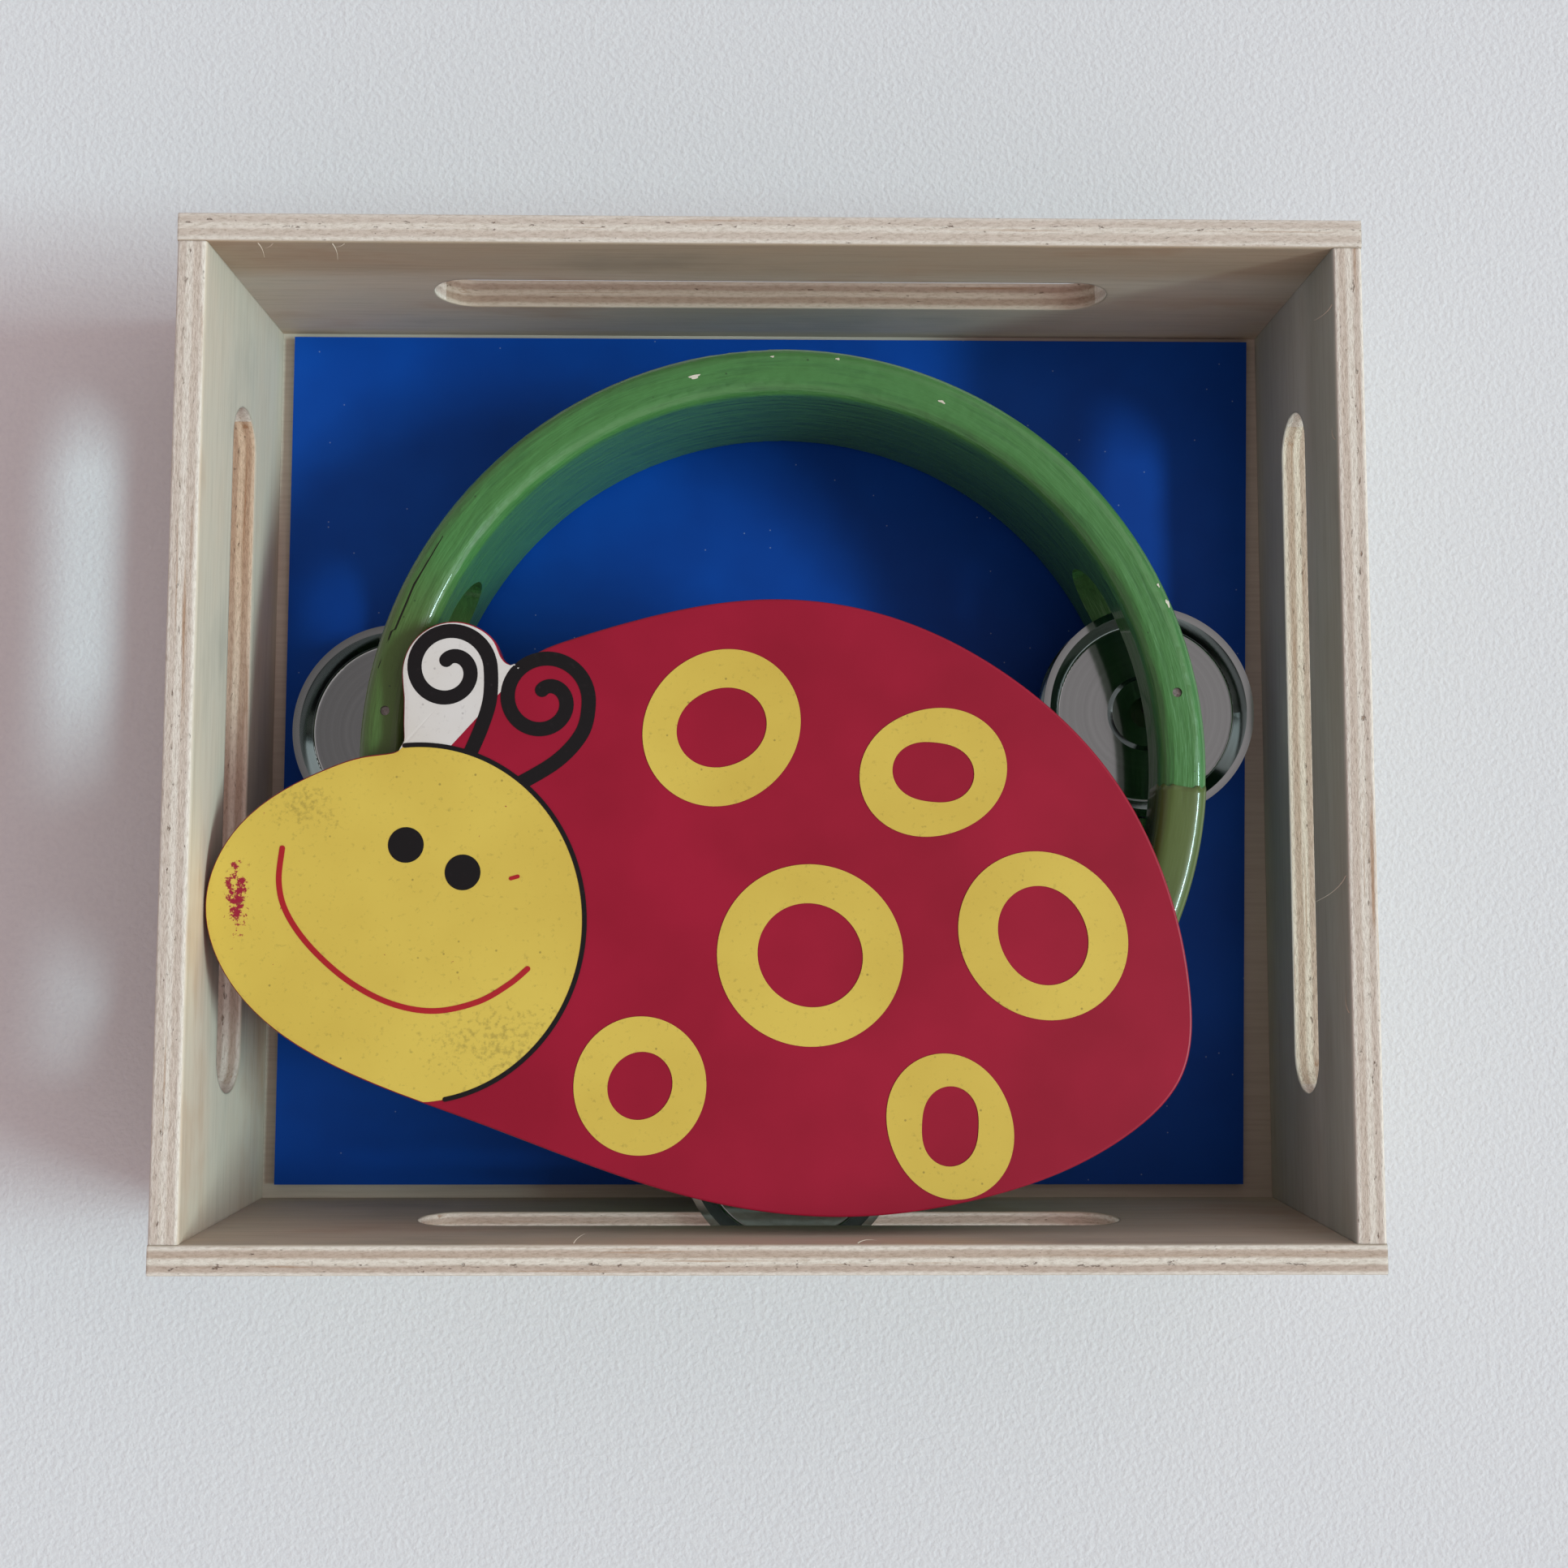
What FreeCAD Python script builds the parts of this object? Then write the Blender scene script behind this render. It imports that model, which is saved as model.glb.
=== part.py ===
import FreeCAD, Part
import Sketcher
import os

# Wooden tray with a ladybird tambourine lying in it, in millimetres, +Z up.
# The origin is on the bench under the middle of the tray, and -Y is the side of the belly.

doc = FreeCAD.newDocument("tambourine_tray")
sheet = doc.addObject("Spreadsheet::Sheet", "Sizes")

driving_sizes = (
    ("wall", 6.0, "plywood of the tray walls"),
    ("rim_ease", 0.7, "rounding of the rim edges"),
    ("rim_room", 8.7, "rim above the plate"),
    ("slot_length", 147.0, "slot in each wall, end to end"),
    ("slot_height", 16.0, "slot in each wall, with round ends"),
    ("slot_rise", 4.45, "wall slots above mid height of the hoop"),
    ("panel_lift", 2.5, "underside of the bottom panel above the bench"),
    ("panel_thick", 3.0, "bottom panel"),
    ("panel_clear", 0.05, "bottom panel in its groove, each side"),
    ("groove_depth", 3.0, "groove for the bottom panel"),
    ("board_thick", 2.0, "painted floor board"),
    ("board_left", 3.2, "bare margin beside the floor board"),
    ("board_right", 2.5, "bare margin at its back right corner"),
    ("board_back", 1.4, "bare margin behind it"),
    ("board_front", 3.2, "bare margin in front of it"),
    ("board_skew", 4.6, "front right corner cut out of square"),
    ("brad_radius", 0.6, "nails in the corners"),
    ("brad_length", 20.0, "nails in the corners"),
    ("brad_sink", 0.3, "nail heads below the face"),
    ("brad_clear", 0.03, "nail in its hole, radial"),
    ("brad_low", 15.0, "lower nails above the bench"),
    ("brad_drop", 12.0, "upper nails below the rim"),
    ("rest_gap", 0.3, "loose pieces above what they lie on"),
    ("nose_room", 0.4, "nose of the plate to the left wall"),
    ("nose_reach", 116.3, "nose of the plate to the hoop's axis"),
    ("right_room", 5.7, "right jingles to the right wall"),
    ("belly_room", 3.6, "belly of the plate to the front wall"),
    ("belly_overhang", 3.7, "belly of the plate beyond the hoop"),
    ("back_room", 16.5, "hoop to the back wall"),
    ("hoop_radius", 87.6, "outside of the hoop"),
    ("hoop_wall", 10.0, "bent wood of the hoop"),
    ("hoop_height", 39.5, "hoop, along its axis"),
    ("hoop_round", 3.2, "rounding of the hoop's edges"),
    ("front_angle", 271.5, "front jingles, counted from +X"),
    ("side_angle", 98.7, "side jingles from the front ones"),
    ("jingle_slot_height", 18.0, "slot in the hoop, with round ends"),
    ("jingle_slot_room", 0.6, "straight edge of that slot, longer than a jingle"),
    ("jingle_seat", 0.6, "side jingles above that edge, held by the slot's round ends"),
    ("pin_radius", 0.95, "nail that carries a pair of jingles"),
    ("pin_clear", 0.04, "nail in the hoop, radial"),
    ("pin_sink", 0.6, "nail head below the hoop's top"),
    ("pin_bite", 6.0, "nail into the wood under the slot"),
    ("jingle_radius", 23.0, "jingle over its lip"),
    ("jingle_height", 4.2, "depth of the pressed cup"),
    ("jingle_sheet", 0.6, "sheet steel"),
    ("jingle_lip", 1.2, "flat lip round the cup"),
    ("jingle_flare", 2.2, "slope of the cup's side, in plan"),
    ("jingle_crown", 8.0, "radius of the pressed crown"),
    ("jingle_crown_rise", 0.9, "rise of the pressed crown"),
    ("jingle_bend", 0.8, "bend radius of the pressed steel"),
    ("jingle_bore", 3.4, "radius of the loose hole for the nail"),
    ("right_lean_angle", 225.0, "side of the nail on which the jingles hang"),
    ("left_lean_angle", 236.0, "side of the nail on which the jingles hang"),
    ("front_lean_angle", 100.0, "side of the nail on which the jingles hang"),
    ("plate_thick", 4.0, "plywood of the ladybird"),
    ("plate_length", 198.3, "nose to rump"),
    ("plate_depth", 124.4, "belly to back"),
    ("plate_ease", 0.5, "rounding of the ladybird's edges"),
    ("feeler_radius", 10.45, "round lobe under the feelers"),
)
for row, (alias, value, note) in enumerate(driving_sizes, start=1):
    sheet.set("A%d" % row, alias)
    sheet.set("B%d" % row, str(value))
    sheet.setAlias("B%d" % row, alias)
    sheet.set("C%d" % row, note)
doc.recompute()

# Places worked out from the driving sizes, as expressions
pin_ring = "(Sizes.hoop_radius - Sizes.hoop_wall / 2)"
inner_length = ("(Sizes.nose_room + Sizes.nose_reach + %s + Sizes.jingle_radius + Sizes.right_room)"
                % pin_ring)
inner_depth = ("(Sizes.belly_room + Sizes.belly_overhang + 2 * Sizes.hoop_radius + Sizes.back_room)")
tray_length = "(%s + 2 * Sizes.wall)" % inner_length
tray_depth = "(%s + 2 * Sizes.wall)" % inner_depth
panel_top = "(Sizes.panel_lift + Sizes.panel_thick)"
floor_top = "(%s + Sizes.board_thick)" % panel_top
hoop_x = "(Sizes.nose_room + Sizes.nose_reach - %s / 2)" % inner_length
hoop_y = "(Sizes.belly_room + Sizes.belly_overhang + Sizes.hoop_radius - %s / 2)" % inner_depth
hoop_base = "(%s + Sizes.rest_gap)" % floor_top
hoop_top = "(%s + Sizes.hoop_height)" % hoop_base
hoop_middle = "(%s + Sizes.hoop_height / 2)" % hoop_base
tray_height = "(%s + Sizes.plate_thick + Sizes.rim_room)" % hoop_top
wall_slot_z = "(%s + Sizes.slot_rise)" % hoop_middle
jingle_slot_length = "(2 * Sizes.jingle_radius + Sizes.jingle_slot_room + Sizes.jingle_slot_height)"
jingle_slot_bottom = "(%s - Sizes.jingle_slot_height / 2)" % hoop_middle
jingle_play = "(Sizes.jingle_bore - Sizes.pin_radius - Sizes.rest_gap)"
brad_high = "(%s - Sizes.brad_drop)" % tray_height
brad_hole = "(Sizes.brad_radius + Sizes.brad_clear)"

# Each pair of jingles: its place round the hoop, its lean, and what the lower one lies on.
# The front pair reaches into the front wall's slot, and lies on the edge of that slot.
side_seat = "(%s + Sizes.jingle_seat)" % jingle_slot_bottom
front_seat = "(%s - Sizes.slot_height / 2 + Sizes.rest_gap)" % wall_slot_z
stations = (
    ("right", "(Sizes.front_angle + Sizes.side_angle)", "Sizes.right_lean_angle", side_seat),
    ("left", "(Sizes.front_angle - Sizes.side_angle)", "Sizes.left_lean_angle", side_seat),
    ("front", "Sizes.front_angle", "Sizes.front_lean_angle", front_seat),
)

# Outline of the ladybird from the back, over the rump and along the belly to the nose and the brow:
# shares of its length from the nose and of its depth from the belly
ladybird_outline = (
    (0.3585, 0.9275), (0.424, 0.96), (0.58, 1.0), (0.705, 0.967), (0.82, 0.872), (0.921, 0.715),
    (0.986, 0.489), (1.0, 0.358), (0.991, 0.227), (0.934, 0.129), (0.781, 0.027), (0.647, 0.0),
    (0.483, 0.035), (0.275, 0.151), (0.116, 0.253), (0.035, 0.355), (0.0, 0.5), (0.032, 0.626),
    (0.125, 0.722), (0.168, 0.741),
)
# The lobe under the feelers closes it: a place in the same shares, then its foot on the brow, its
# round top and the notch behind it, in radii of the lobe about that place
feeler_place = (0.2471, 0.877)
lobe_foot = ((-0.97, -1.46), (-0.95, -1.1), (-0.96, -0.5))
lobe_round = (180, 150, 120, 90, 60, 35, 15)
lobe_notch = ((1.11, 0.15), (1.48, 0.3))

parts = []


def number(expression):
    return float(sheet.evalExpression(expression.replace("Sizes.", "")))


def new_body(name):
    body = doc.addObject("PartDesign::Body", name)
    body.Label = name
    parts.append(body)
    return body


def new_sketch(body, name, role):
    plane = [feature for feature in body.Origin.OriginFeatures if feature.Role == role][0]
    sketch = body.newObject("Sketcher::SketchObject", body.Name + "_" + name)
    sketch.AttachmentSupport = (plane, [""])
    sketch.MapMode = "FlatFace"
    return sketch


def bind(sketch, name, expression, kind, *places):
    index = sketch.addConstraint(Sketcher.Constraint(kind, *places, number(expression)))
    sketch.renameConstraint(index, name)
    sketch.setExpression("Constraints." + name, expression)


def polygon(sketch, corners):
    """Closed straight outline; corners are pairs of expressions."""
    points = [FreeCAD.Vector(number(x), number(y), 0) for x, y in corners]
    count = len(points)
    for index in range(count):
        sketch.addGeometry(Part.LineSegment(points[index], points[(index + 1) % count]), False)
    for index in range(count):
        sketch.addConstraint(Sketcher.Constraint("Coincident", index, 2, (index + 1) % count, 1))
    for index, (x, y) in enumerate(corners):
        bind(sketch, "corner_x%d" % index, x, "DistanceX", -1, 1, index, 1)
        bind(sketch, "corner_y%d" % index, y, "DistanceY", -1, 1, index, 1)


def rectangle(sketch, left, bottom, width, height):
    right = "%s + %s" % (left, width)
    top = "%s + %s" % (bottom, height)
    polygon(sketch, ((left, bottom), (right, bottom), (right, top), (left, top)))


def stadium(sketch, middle_y, length, height):
    """Level slot with round ends, centred on the sketch's upright axis."""
    first = sketch.GeometryCount
    radius = number(height) / 2
    half = number(length) / 2 - radius
    y = number(middle_y)
    lower, right, upper, left = first, first + 1, first + 2, first + 3
    up = FreeCAD.Vector(0, 0, 1)
    quarter = FreeCAD.Units.Quantity("90 deg").getValueAs("rad").Value
    right_circle = Part.Circle(FreeCAD.Vector(half, y, 0), up, radius)
    left_circle = Part.Circle(FreeCAD.Vector(-half, y, 0), up, radius)
    sketch.addGeometry(Part.LineSegment(FreeCAD.Vector(-half, y - radius, 0),
                                        FreeCAD.Vector(half, y - radius, 0)), False)
    sketch.addGeometry(Part.ArcOfCircle(right_circle, -quarter, quarter), False)
    sketch.addGeometry(Part.LineSegment(FreeCAD.Vector(half, y + radius, 0),
                                        FreeCAD.Vector(-half, y + radius, 0)), False)
    sketch.addGeometry(Part.ArcOfCircle(left_circle, quarter, 3 * quarter), False)
    for before, after in ((lower, right), (right, upper), (upper, left), (left, lower)):
        sketch.addConstraint(Sketcher.Constraint("Tangent", before, 2, after, 1))
    sketch.addConstraint(Sketcher.Constraint("Horizontal", lower))
    sketch.addConstraint(Sketcher.Constraint("Equal", left, right))
    bind(sketch, "slot_radius", "%s / 2" % height, "Radius", right)
    bind(sketch, "slot_run", "%s - %s" % (length, height), "DistanceX", left, 3, right, 3)
    bind(sketch, "slot_half", "(%s - %s) / 2" % (length, height), "DistanceX", -1, 1, right, 3)
    bind(sketch, "slot_level", middle_y, "DistanceY", -1, 1, right, 3)


def circles(sketch, centres, radius):
    """Round holes of one size; centres are pairs of expressions."""
    for index, (x, y) in enumerate(centres):
        centre = FreeCAD.Vector(number(x), number(y), 0)
        sketch.addGeometry(Part.Circle(centre, FreeCAD.Vector(0, 0, 1), number(radius)), False)
        bind(sketch, "hole_radius%d" % index, radius, "Radius", index)
        bind(sketch, "hole_x%d" % index, x, "DistanceX", -1, 1, index, 3)
        bind(sketch, "hole_y%d" % index, y, "DistanceY", -1, 1, index, 3)


def pad(body, sketch, length):
    feature = body.newObject("PartDesign::Pad", sketch.Name + "_pad")
    feature.Profile = sketch
    feature.setExpression("Length", length)
    doc.recompute()
    return feature


def pocket(body, sketch, length=None, along_normal=False):
    """Cut against the sketch's normal, or along it; right through if no length is given."""
    before = body.Shape.Volume
    feature = body.newObject("PartDesign::Pocket", sketch.Name + "_pocket")
    feature.Profile = sketch
    feature.Reversed = along_normal
    if length is None:
        feature.Type = "ThroughAll"
    else:
        feature.setExpression("Length", length)
    doc.recompute()
    if body.Shape.Volume >= before:
        raise RuntimeError(feature.Name + " cuts nothing")
    return feature


def revolve(body, sketch):
    feature = body.newObject("PartDesign::Revolution", sketch.Name + "_turn")
    feature.Profile = sketch
    feature.ReferenceAxis = (sketch, ["V_Axis"])
    feature.Angle = 360
    doc.recompute()
    return feature


def round_edges(body, name, radius, wanted):
    """Fillet the edges of the body that the test picks."""
    base = body.Tip
    picked = ["Edge%d" % (index + 1) for index, edge in enumerate(base.Shape.Edges) if wanted(edge)]
    feature = body.newObject("PartDesign::Fillet", body.Name + "_" + name)
    feature.Base = (base, picked)
    feature.setExpression("Radius", radius)
    doc.recompute()
    return feature


def place(item, x, y, z):
    for axis, expression in zip("xyz", (x, y, z)):
        item.setExpression("Placement.Base." + axis, expression)


def turn(item, axis, degrees):
    item.Placement.Rotation = FreeCAD.Rotation(FreeCAD.Vector(*axis), degrees)


# Tray walls: inner face on the local plane Y = 0, plywood towards -Y, slot and panel groove
def tray_wall(name, degrees, length, groove_length, x, y):
    body = new_body(name)
    outline = new_sketch(body, "outline", "XZ_Plane")
    rectangle(outline, "-%s / 2" % length, "0", length, tray_height)
    pad(body, outline, "Sizes.wall")
    rim = number(tray_height)
    round_edges(body, "rim_ease", "Sizes.rim_ease",
                lambda edge: abs(edge.BoundBox.ZMin - rim) < 0.01 and edge.BoundBox.XLength > 1)
    slot = new_sketch(body, "slot", "XZ_Plane")
    stadium(slot, wall_slot_z, "Sizes.slot_length", "Sizes.slot_height")
    pocket(body, slot, along_normal=True)
    groove = new_sketch(body, "groove", "XZ_Plane")
    rectangle(groove, "-%s / 2" % groove_length, "Sizes.panel_lift - Sizes.panel_clear",
              groove_length, "Sizes.panel_thick + 2 * Sizes.panel_clear")
    pocket(body, groove, "Sizes.groove_depth", along_normal=True)
    turn(body, (0, 0, 1), degrees)
    place(body, x, y, "0")
    return body


# The front and back walls run over the ends of the side walls and take the nails
long_groove = "(%s + 2 * Sizes.groove_depth)" % inner_length
nail_x = "(%s / 2 + Sizes.wall / 2)" % inner_length
for name, degrees, side in (("front_wall", 0, "-"), ("back_wall", 180, "")):
    body = tray_wall(name, degrees, tray_length, long_groove, "0", "%s%s / 2" % (side, inner_depth))
    nails = new_sketch(body, "nails", "XZ_Plane")
    circles(nails, [(sign + nail_x, level) for sign in ("-", "")
                    for level in ("Sizes.brad_low", brad_high)], brad_hole)
    pocket(body, nails, along_normal=True)

nail_bite = "(Sizes.brad_length + Sizes.brad_sink - Sizes.wall)"
for name, degrees, side in (("left_wall", -90, "-"), ("right_wall", 90, "")):
    body = tray_wall(name, degrees, inner_depth, inner_depth, "%s%s / 2" % (side, inner_length), "0")
    for end, sign, inward in (("near", "-", True), ("far", "", False)):
        nails = new_sketch(body, end + "_nails", "YZ_Plane")
        nails.setExpression("AttachmentOffset.Base.z", "%s%s / 2" % (sign, inner_depth))
        circles(nails, [("-Sizes.wall / 2", level) for level in ("Sizes.brad_low", brad_high)],
                brad_hole)
        pocket(body, nails, nail_bite, along_normal=inward)

# Corner nails, flush with the front and back faces
nail_shafts = []
for side, lean, inward in (("front", -90, "-"), ("back", 90, "")):
    for sign in ("-", ""):
        for level in ("Sizes.brad_low", brad_high):
            shaft = doc.addObject("Part::Cylinder", "nail")
            shaft.setExpression("Radius", "Sizes.brad_radius")
            shaft.setExpression("Height", "Sizes.brad_length")
            turn(shaft, (1, 0, 0), lean)
            place(shaft, sign + nail_x, "%s(%s / 2 - Sizes.brad_sink)" % (inward, tray_depth), level)
            nail_shafts.append(shaft)
corner_nails = doc.addObject("Part::Compound", "corner_nails")
corner_nails.Label = "corner_nails"
corner_nails.Links = nail_shafts
parts.append(corner_nails)

# Bottom panel, held in the groove on all four sides
panel_length = "(%s + 2 * Sizes.groove_depth - 2 * Sizes.panel_clear)" % inner_length
panel_depth = "(%s + 2 * Sizes.groove_depth - 2 * Sizes.panel_clear)" % inner_depth
bottom_panel = doc.addObject("Part::Box", "bottom_panel")
bottom_panel.Label = "bottom_panel"
bottom_panel.setExpression("Length", panel_length)
bottom_panel.setExpression("Width", panel_depth)
bottom_panel.setExpression("Height", "Sizes.panel_thick")
place(bottom_panel, "-%s / 2" % panel_length, "-%s / 2" % panel_depth, "Sizes.panel_lift")
parts.append(bottom_panel)

# Painted floor board on the panel, its right edge cut a little out of square
floor_board = new_body("floor_board")
board_left = "Sizes.board_left - %s / 2" % inner_length
board_right = "%s / 2 - Sizes.board_right" % inner_length
board_front = "Sizes.board_front - %s / 2" % inner_depth
board_back = "%s / 2 - Sizes.board_back" % inner_depth
board_sketch = new_sketch(floor_board, "outline", "XY_Plane")
polygon(board_sketch, ((board_left, board_front), (board_right + " - Sizes.board_skew", board_front),
                       (board_right, board_back), (board_left, board_back)))
pad(floor_board, board_sketch, "Sizes.board_thick")
place(floor_board, "0", "0", panel_top)

# Hoop of bent wood with a round-ended slot and a nail hole at each pair of jingles
hoop = new_body("hoop")
section = new_sketch(hoop, "section", "XZ_Plane")
rectangle(section, "(Sizes.hoop_radius - Sizes.hoop_wall)", "0", "Sizes.hoop_wall", "Sizes.hoop_height")
revolve(hoop, section)
round_edges(hoop, "rounding", "Sizes.hoop_round",
            lambda edge: edge.BoundBox.ZLength < 0.01 and edge.BoundBox.XLength > 1)
for name, angle, lean, seat in stations:
    slot = new_sketch(hoop, name + "_slot", "XZ_Plane")
    slot.AttachmentOffset = FreeCAD.Placement(FreeCAD.Vector(),
                                              FreeCAD.Rotation(FreeCAD.Vector(0, 1, 0), 1))
    slot.setExpression("AttachmentOffset.Rotation.Angle", angle + " - 270")
    stadium(slot, "Sizes.hoop_height / 2", jingle_slot_length, "Sizes.jingle_slot_height")
    pocket(hoop, slot, along_normal=True)
pin_foot = "((Sizes.hoop_height - Sizes.jingle_slot_height) / 2 - Sizes.pin_bite)"
pin_holes = new_sketch(hoop, "pin_holes", "XY_Plane")
pin_holes.setExpression("AttachmentOffset.Base.z", pin_foot)
circles(pin_holes, [("%s * cos(%s)" % (pin_ring, angle), "%s * sin(%s)" % (pin_ring, angle))
                    for name, angle, lean, seat in stations], "Sizes.pin_radius + Sizes.pin_clear")
pocket(hoop, pin_holes, along_normal=True)
place(hoop, hoop_x, hoop_y, hoop_base)


# Pressed steel jingle, a shallow cup with a lip and a raised crown round its hole
def jingle(name, flipped, x, y, z):
    body = new_body(name)
    profile = new_sketch(body, "profile", "XZ_Plane")
    cup_foot = "(Sizes.jingle_radius - Sizes.jingle_lip - Sizes.jingle_flare)"
    cup_mouth = "(Sizes.jingle_radius - Sizes.jingle_lip)"
    crown_top = "(Sizes.jingle_crown - Sizes.jingle_crown_rise)"
    lip_under = "(Sizes.jingle_height - Sizes.jingle_sheet)"
    crown_over = "(Sizes.jingle_crown_rise + Sizes.jingle_sheet)"
    polygon(profile, (
        ("Sizes.jingle_bore", "Sizes.jingle_crown_rise"),
        (crown_top, "Sizes.jingle_crown_rise"),
        ("Sizes.jingle_crown", "0"),
        (cup_foot, "0"),
        (cup_mouth, lip_under),
        ("Sizes.jingle_radius", lip_under),
        ("Sizes.jingle_radius", "Sizes.jingle_height"),
        (cup_mouth + " - Sizes.jingle_sheet / 2", "Sizes.jingle_height"),
        (cup_foot + " - Sizes.jingle_sheet / 2", "Sizes.jingle_sheet"),
        ("Sizes.jingle_crown + Sizes.jingle_sheet / 2", "Sizes.jingle_sheet"),
        (crown_top + " + Sizes.jingle_sheet / 2", crown_over),
        ("Sizes.jingle_bore", crown_over),
    ))
    revolve(body, profile)
    bends = (number(cup_foot), number(cup_foot + " - Sizes.jingle_sheet / 2"))
    round_edges(body, "bends", "Sizes.jingle_bend",
                lambda edge: min(abs(edge.BoundBox.XMax - bend) for bend in bends) < 0.01)
    if flipped:
        turn(body, (1, 0, 0), 180)
    place(body, x, y, z)


# Nail and pair of jingles at each station, the jingles back to back
for name, angle, lean, seat in stations:
    pin_x = "%s + %s * cos(%s)" % (hoop_x, pin_ring, angle)
    pin_y = "%s + %s * sin(%s)" % (hoop_y, pin_ring, angle)
    pin = doc.addObject("Part::Cylinder", name + "_jingle_pin")
    pin.Label = name + "_jingle_pin"
    pin.setExpression("Radius", "Sizes.pin_radius")
    pin.setExpression("Height", "Sizes.hoop_height - Sizes.pin_sink - %s" % pin_foot)
    place(pin, pin_x, pin_y, "%s + %s" % (hoop_base, pin_foot))
    parts.append(pin)
    x = "%s + %s * cos(%s)" % (pin_x, jingle_play, lean)
    y = "%s + %s * sin(%s)" % (pin_y, jingle_play, lean)
    between = "%s + Sizes.jingle_height" % seat
    jingle(name + "_lower_jingle", True, x, y, between)
    jingle(name + "_upper_jingle", False, x, y, between + " + Sizes.rest_gap")

# Ladybird plate on top of the hoop: one smooth outline with the lobe that carries the feelers
plate = new_body("ladybird_plate")
length = number("Sizes.plate_length")
depth = number("Sizes.plate_depth")
lobe_radius = number("Sizes.feeler_radius")
lobe_middle = FreeCAD.Vector(feeler_place[0] * length, feeler_place[1] * depth, 0)
lobe_top = [(number("cos(%g deg)" % angle), number("sin(%g deg)" % angle)) for angle in lobe_round]
points = [FreeCAD.Vector(u * length, v * depth, 0) for u, v in ladybird_outline]
points += [lobe_middle + FreeCAD.Vector(u * lobe_radius, v * lobe_radius, 0)
           for u, v in (*lobe_foot, *lobe_top, *lobe_notch)]
curve = Part.BSplineCurve()
curve.interpolate(points, PeriodicFlag=True)
outline = new_sketch(plate, "outline", "XY_Plane")
outline.addGeometry(curve, False)
pad(plate, outline, "Sizes.plate_thick")
round_edges(plate, "ease", "Sizes.plate_ease", lambda edge: edge.BoundBox.ZLength < 0.01)
place(plate, "%s - Sizes.nose_reach" % hoop_x,
      "%s - Sizes.hoop_radius - Sizes.belly_overhang" % hoop_y, hoop_top)

doc.recompute()
for item in doc.Objects:
    if "Invalid" in item.State or "Error" in item.State:
        raise RuntimeError("%s failed: %s" % (item.Name, item.State))
for part in parts:
    if part.Shape.isNull() or not part.Shape.isValid():
        raise RuntimeError(part.Label + " has no valid shape")

os.makedirs("parts", exist_ok=True)
for part in parts:
    part.Shape.exportStep("parts/%s.step" % part.Label)
    box = part.Shape.BoundBox
    print("%-22s solids %d  volume %9.1f  x %7.2f %7.2f  y %7.2f %7.2f  z %6.2f %6.2f" % (
        part.Label, len(part.Shape.Solids), part.Shape.Volume,
        box.XMin, box.XMax, box.YMin, box.YMax, box.ZMin, box.ZMax))
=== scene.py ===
import math

import bpy
from mathutils import Matrix, Vector


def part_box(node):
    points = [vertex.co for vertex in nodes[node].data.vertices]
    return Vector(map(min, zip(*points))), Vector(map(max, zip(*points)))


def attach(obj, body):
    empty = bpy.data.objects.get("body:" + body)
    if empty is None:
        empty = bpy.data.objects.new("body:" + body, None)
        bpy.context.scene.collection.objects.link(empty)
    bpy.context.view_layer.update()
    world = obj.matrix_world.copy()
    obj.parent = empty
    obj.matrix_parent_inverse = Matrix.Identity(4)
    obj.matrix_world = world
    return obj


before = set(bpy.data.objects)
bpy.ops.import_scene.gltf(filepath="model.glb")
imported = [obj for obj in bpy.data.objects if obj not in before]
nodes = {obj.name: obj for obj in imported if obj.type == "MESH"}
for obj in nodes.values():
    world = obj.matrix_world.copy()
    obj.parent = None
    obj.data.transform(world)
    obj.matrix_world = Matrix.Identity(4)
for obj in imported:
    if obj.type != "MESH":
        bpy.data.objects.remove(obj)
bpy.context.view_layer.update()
mm = 0.001
print("frame loaded:", len(nodes), "nodes")


def linear(hexColour):  # sRGB hex to linear RGBA
    values = [int(hexColour[i:i + 2], 16) / 255 for i in (1, 3, 5)]
    return [v / 12.92 if v <= 0.04045 else ((v + 0.055) / 1.055) ** 2.4 for v in values] + [1.0]


def addNode(tree, kind, settings=None, links=None):
    node = tree.nodes.new(kind)
    for key, value in (settings or {}).items():
        if key == "stops":  # colour ramp: (position, hex) pairs
            ramp = node.color_ramp
            while len(ramp.elements) < len(value):
                ramp.elements.new(1.0)
            for element, (position, colour) in zip(ramp.elements, value):
                element.position = position
                element.color = linear(colour)
        elif isinstance(key, int) or key in node.inputs:
            node.inputs[key].default_value = value
        else:
            setattr(node, key, value)
    for key, socket in (links or {}).items():
        tree.links.new(socket, node.inputs[key])
    return node


shaderSockets = {"roughness": "Roughness", "metallic": "Metallic", "ior": "IOR",
                 "specular": "Specular IOR Level", "coat": "Coat Weight", "coatRoughness": "Coat Roughness"}


def newMaterial(name, finish):  # what is the same all over the surface goes on the shader's own sockets
    material = bpy.data.materials.new(name)
    material.use_nodes = True
    tree = material.node_tree
    shader = tree.nodes["Principled BSDF"]
    for key, socket in shaderSockets.items():
        if key in finish:
            shader.inputs[socket].default_value = finish[key]
    return material, tree, shader


def finishNode(nodeName, material):
    mesh = nodes[nodeName].data
    mesh.materials.clear()
    mesh.materials.append(material)


def addPiece(name, points, faces, material, body, smooth=False):  # points in millimetres
    mesh = bpy.data.meshes.new(name)
    mesh.from_pydata([tuple(v * mm for v in point) for point in points], [], faces)
    mesh.update()
    mesh.materials.append(material)
    mesh.polygons.foreach_set("use_smooth", [smooth] * len(mesh.polygons))
    piece = bpy.data.objects.new(name, mesh)
    bpy.context.scene.collection.objects.link(piece)
    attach(piece, body)


def perMetre(millimetres):  # pattern scale for a feature of this size
    return 1000.0 / millimetres


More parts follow.
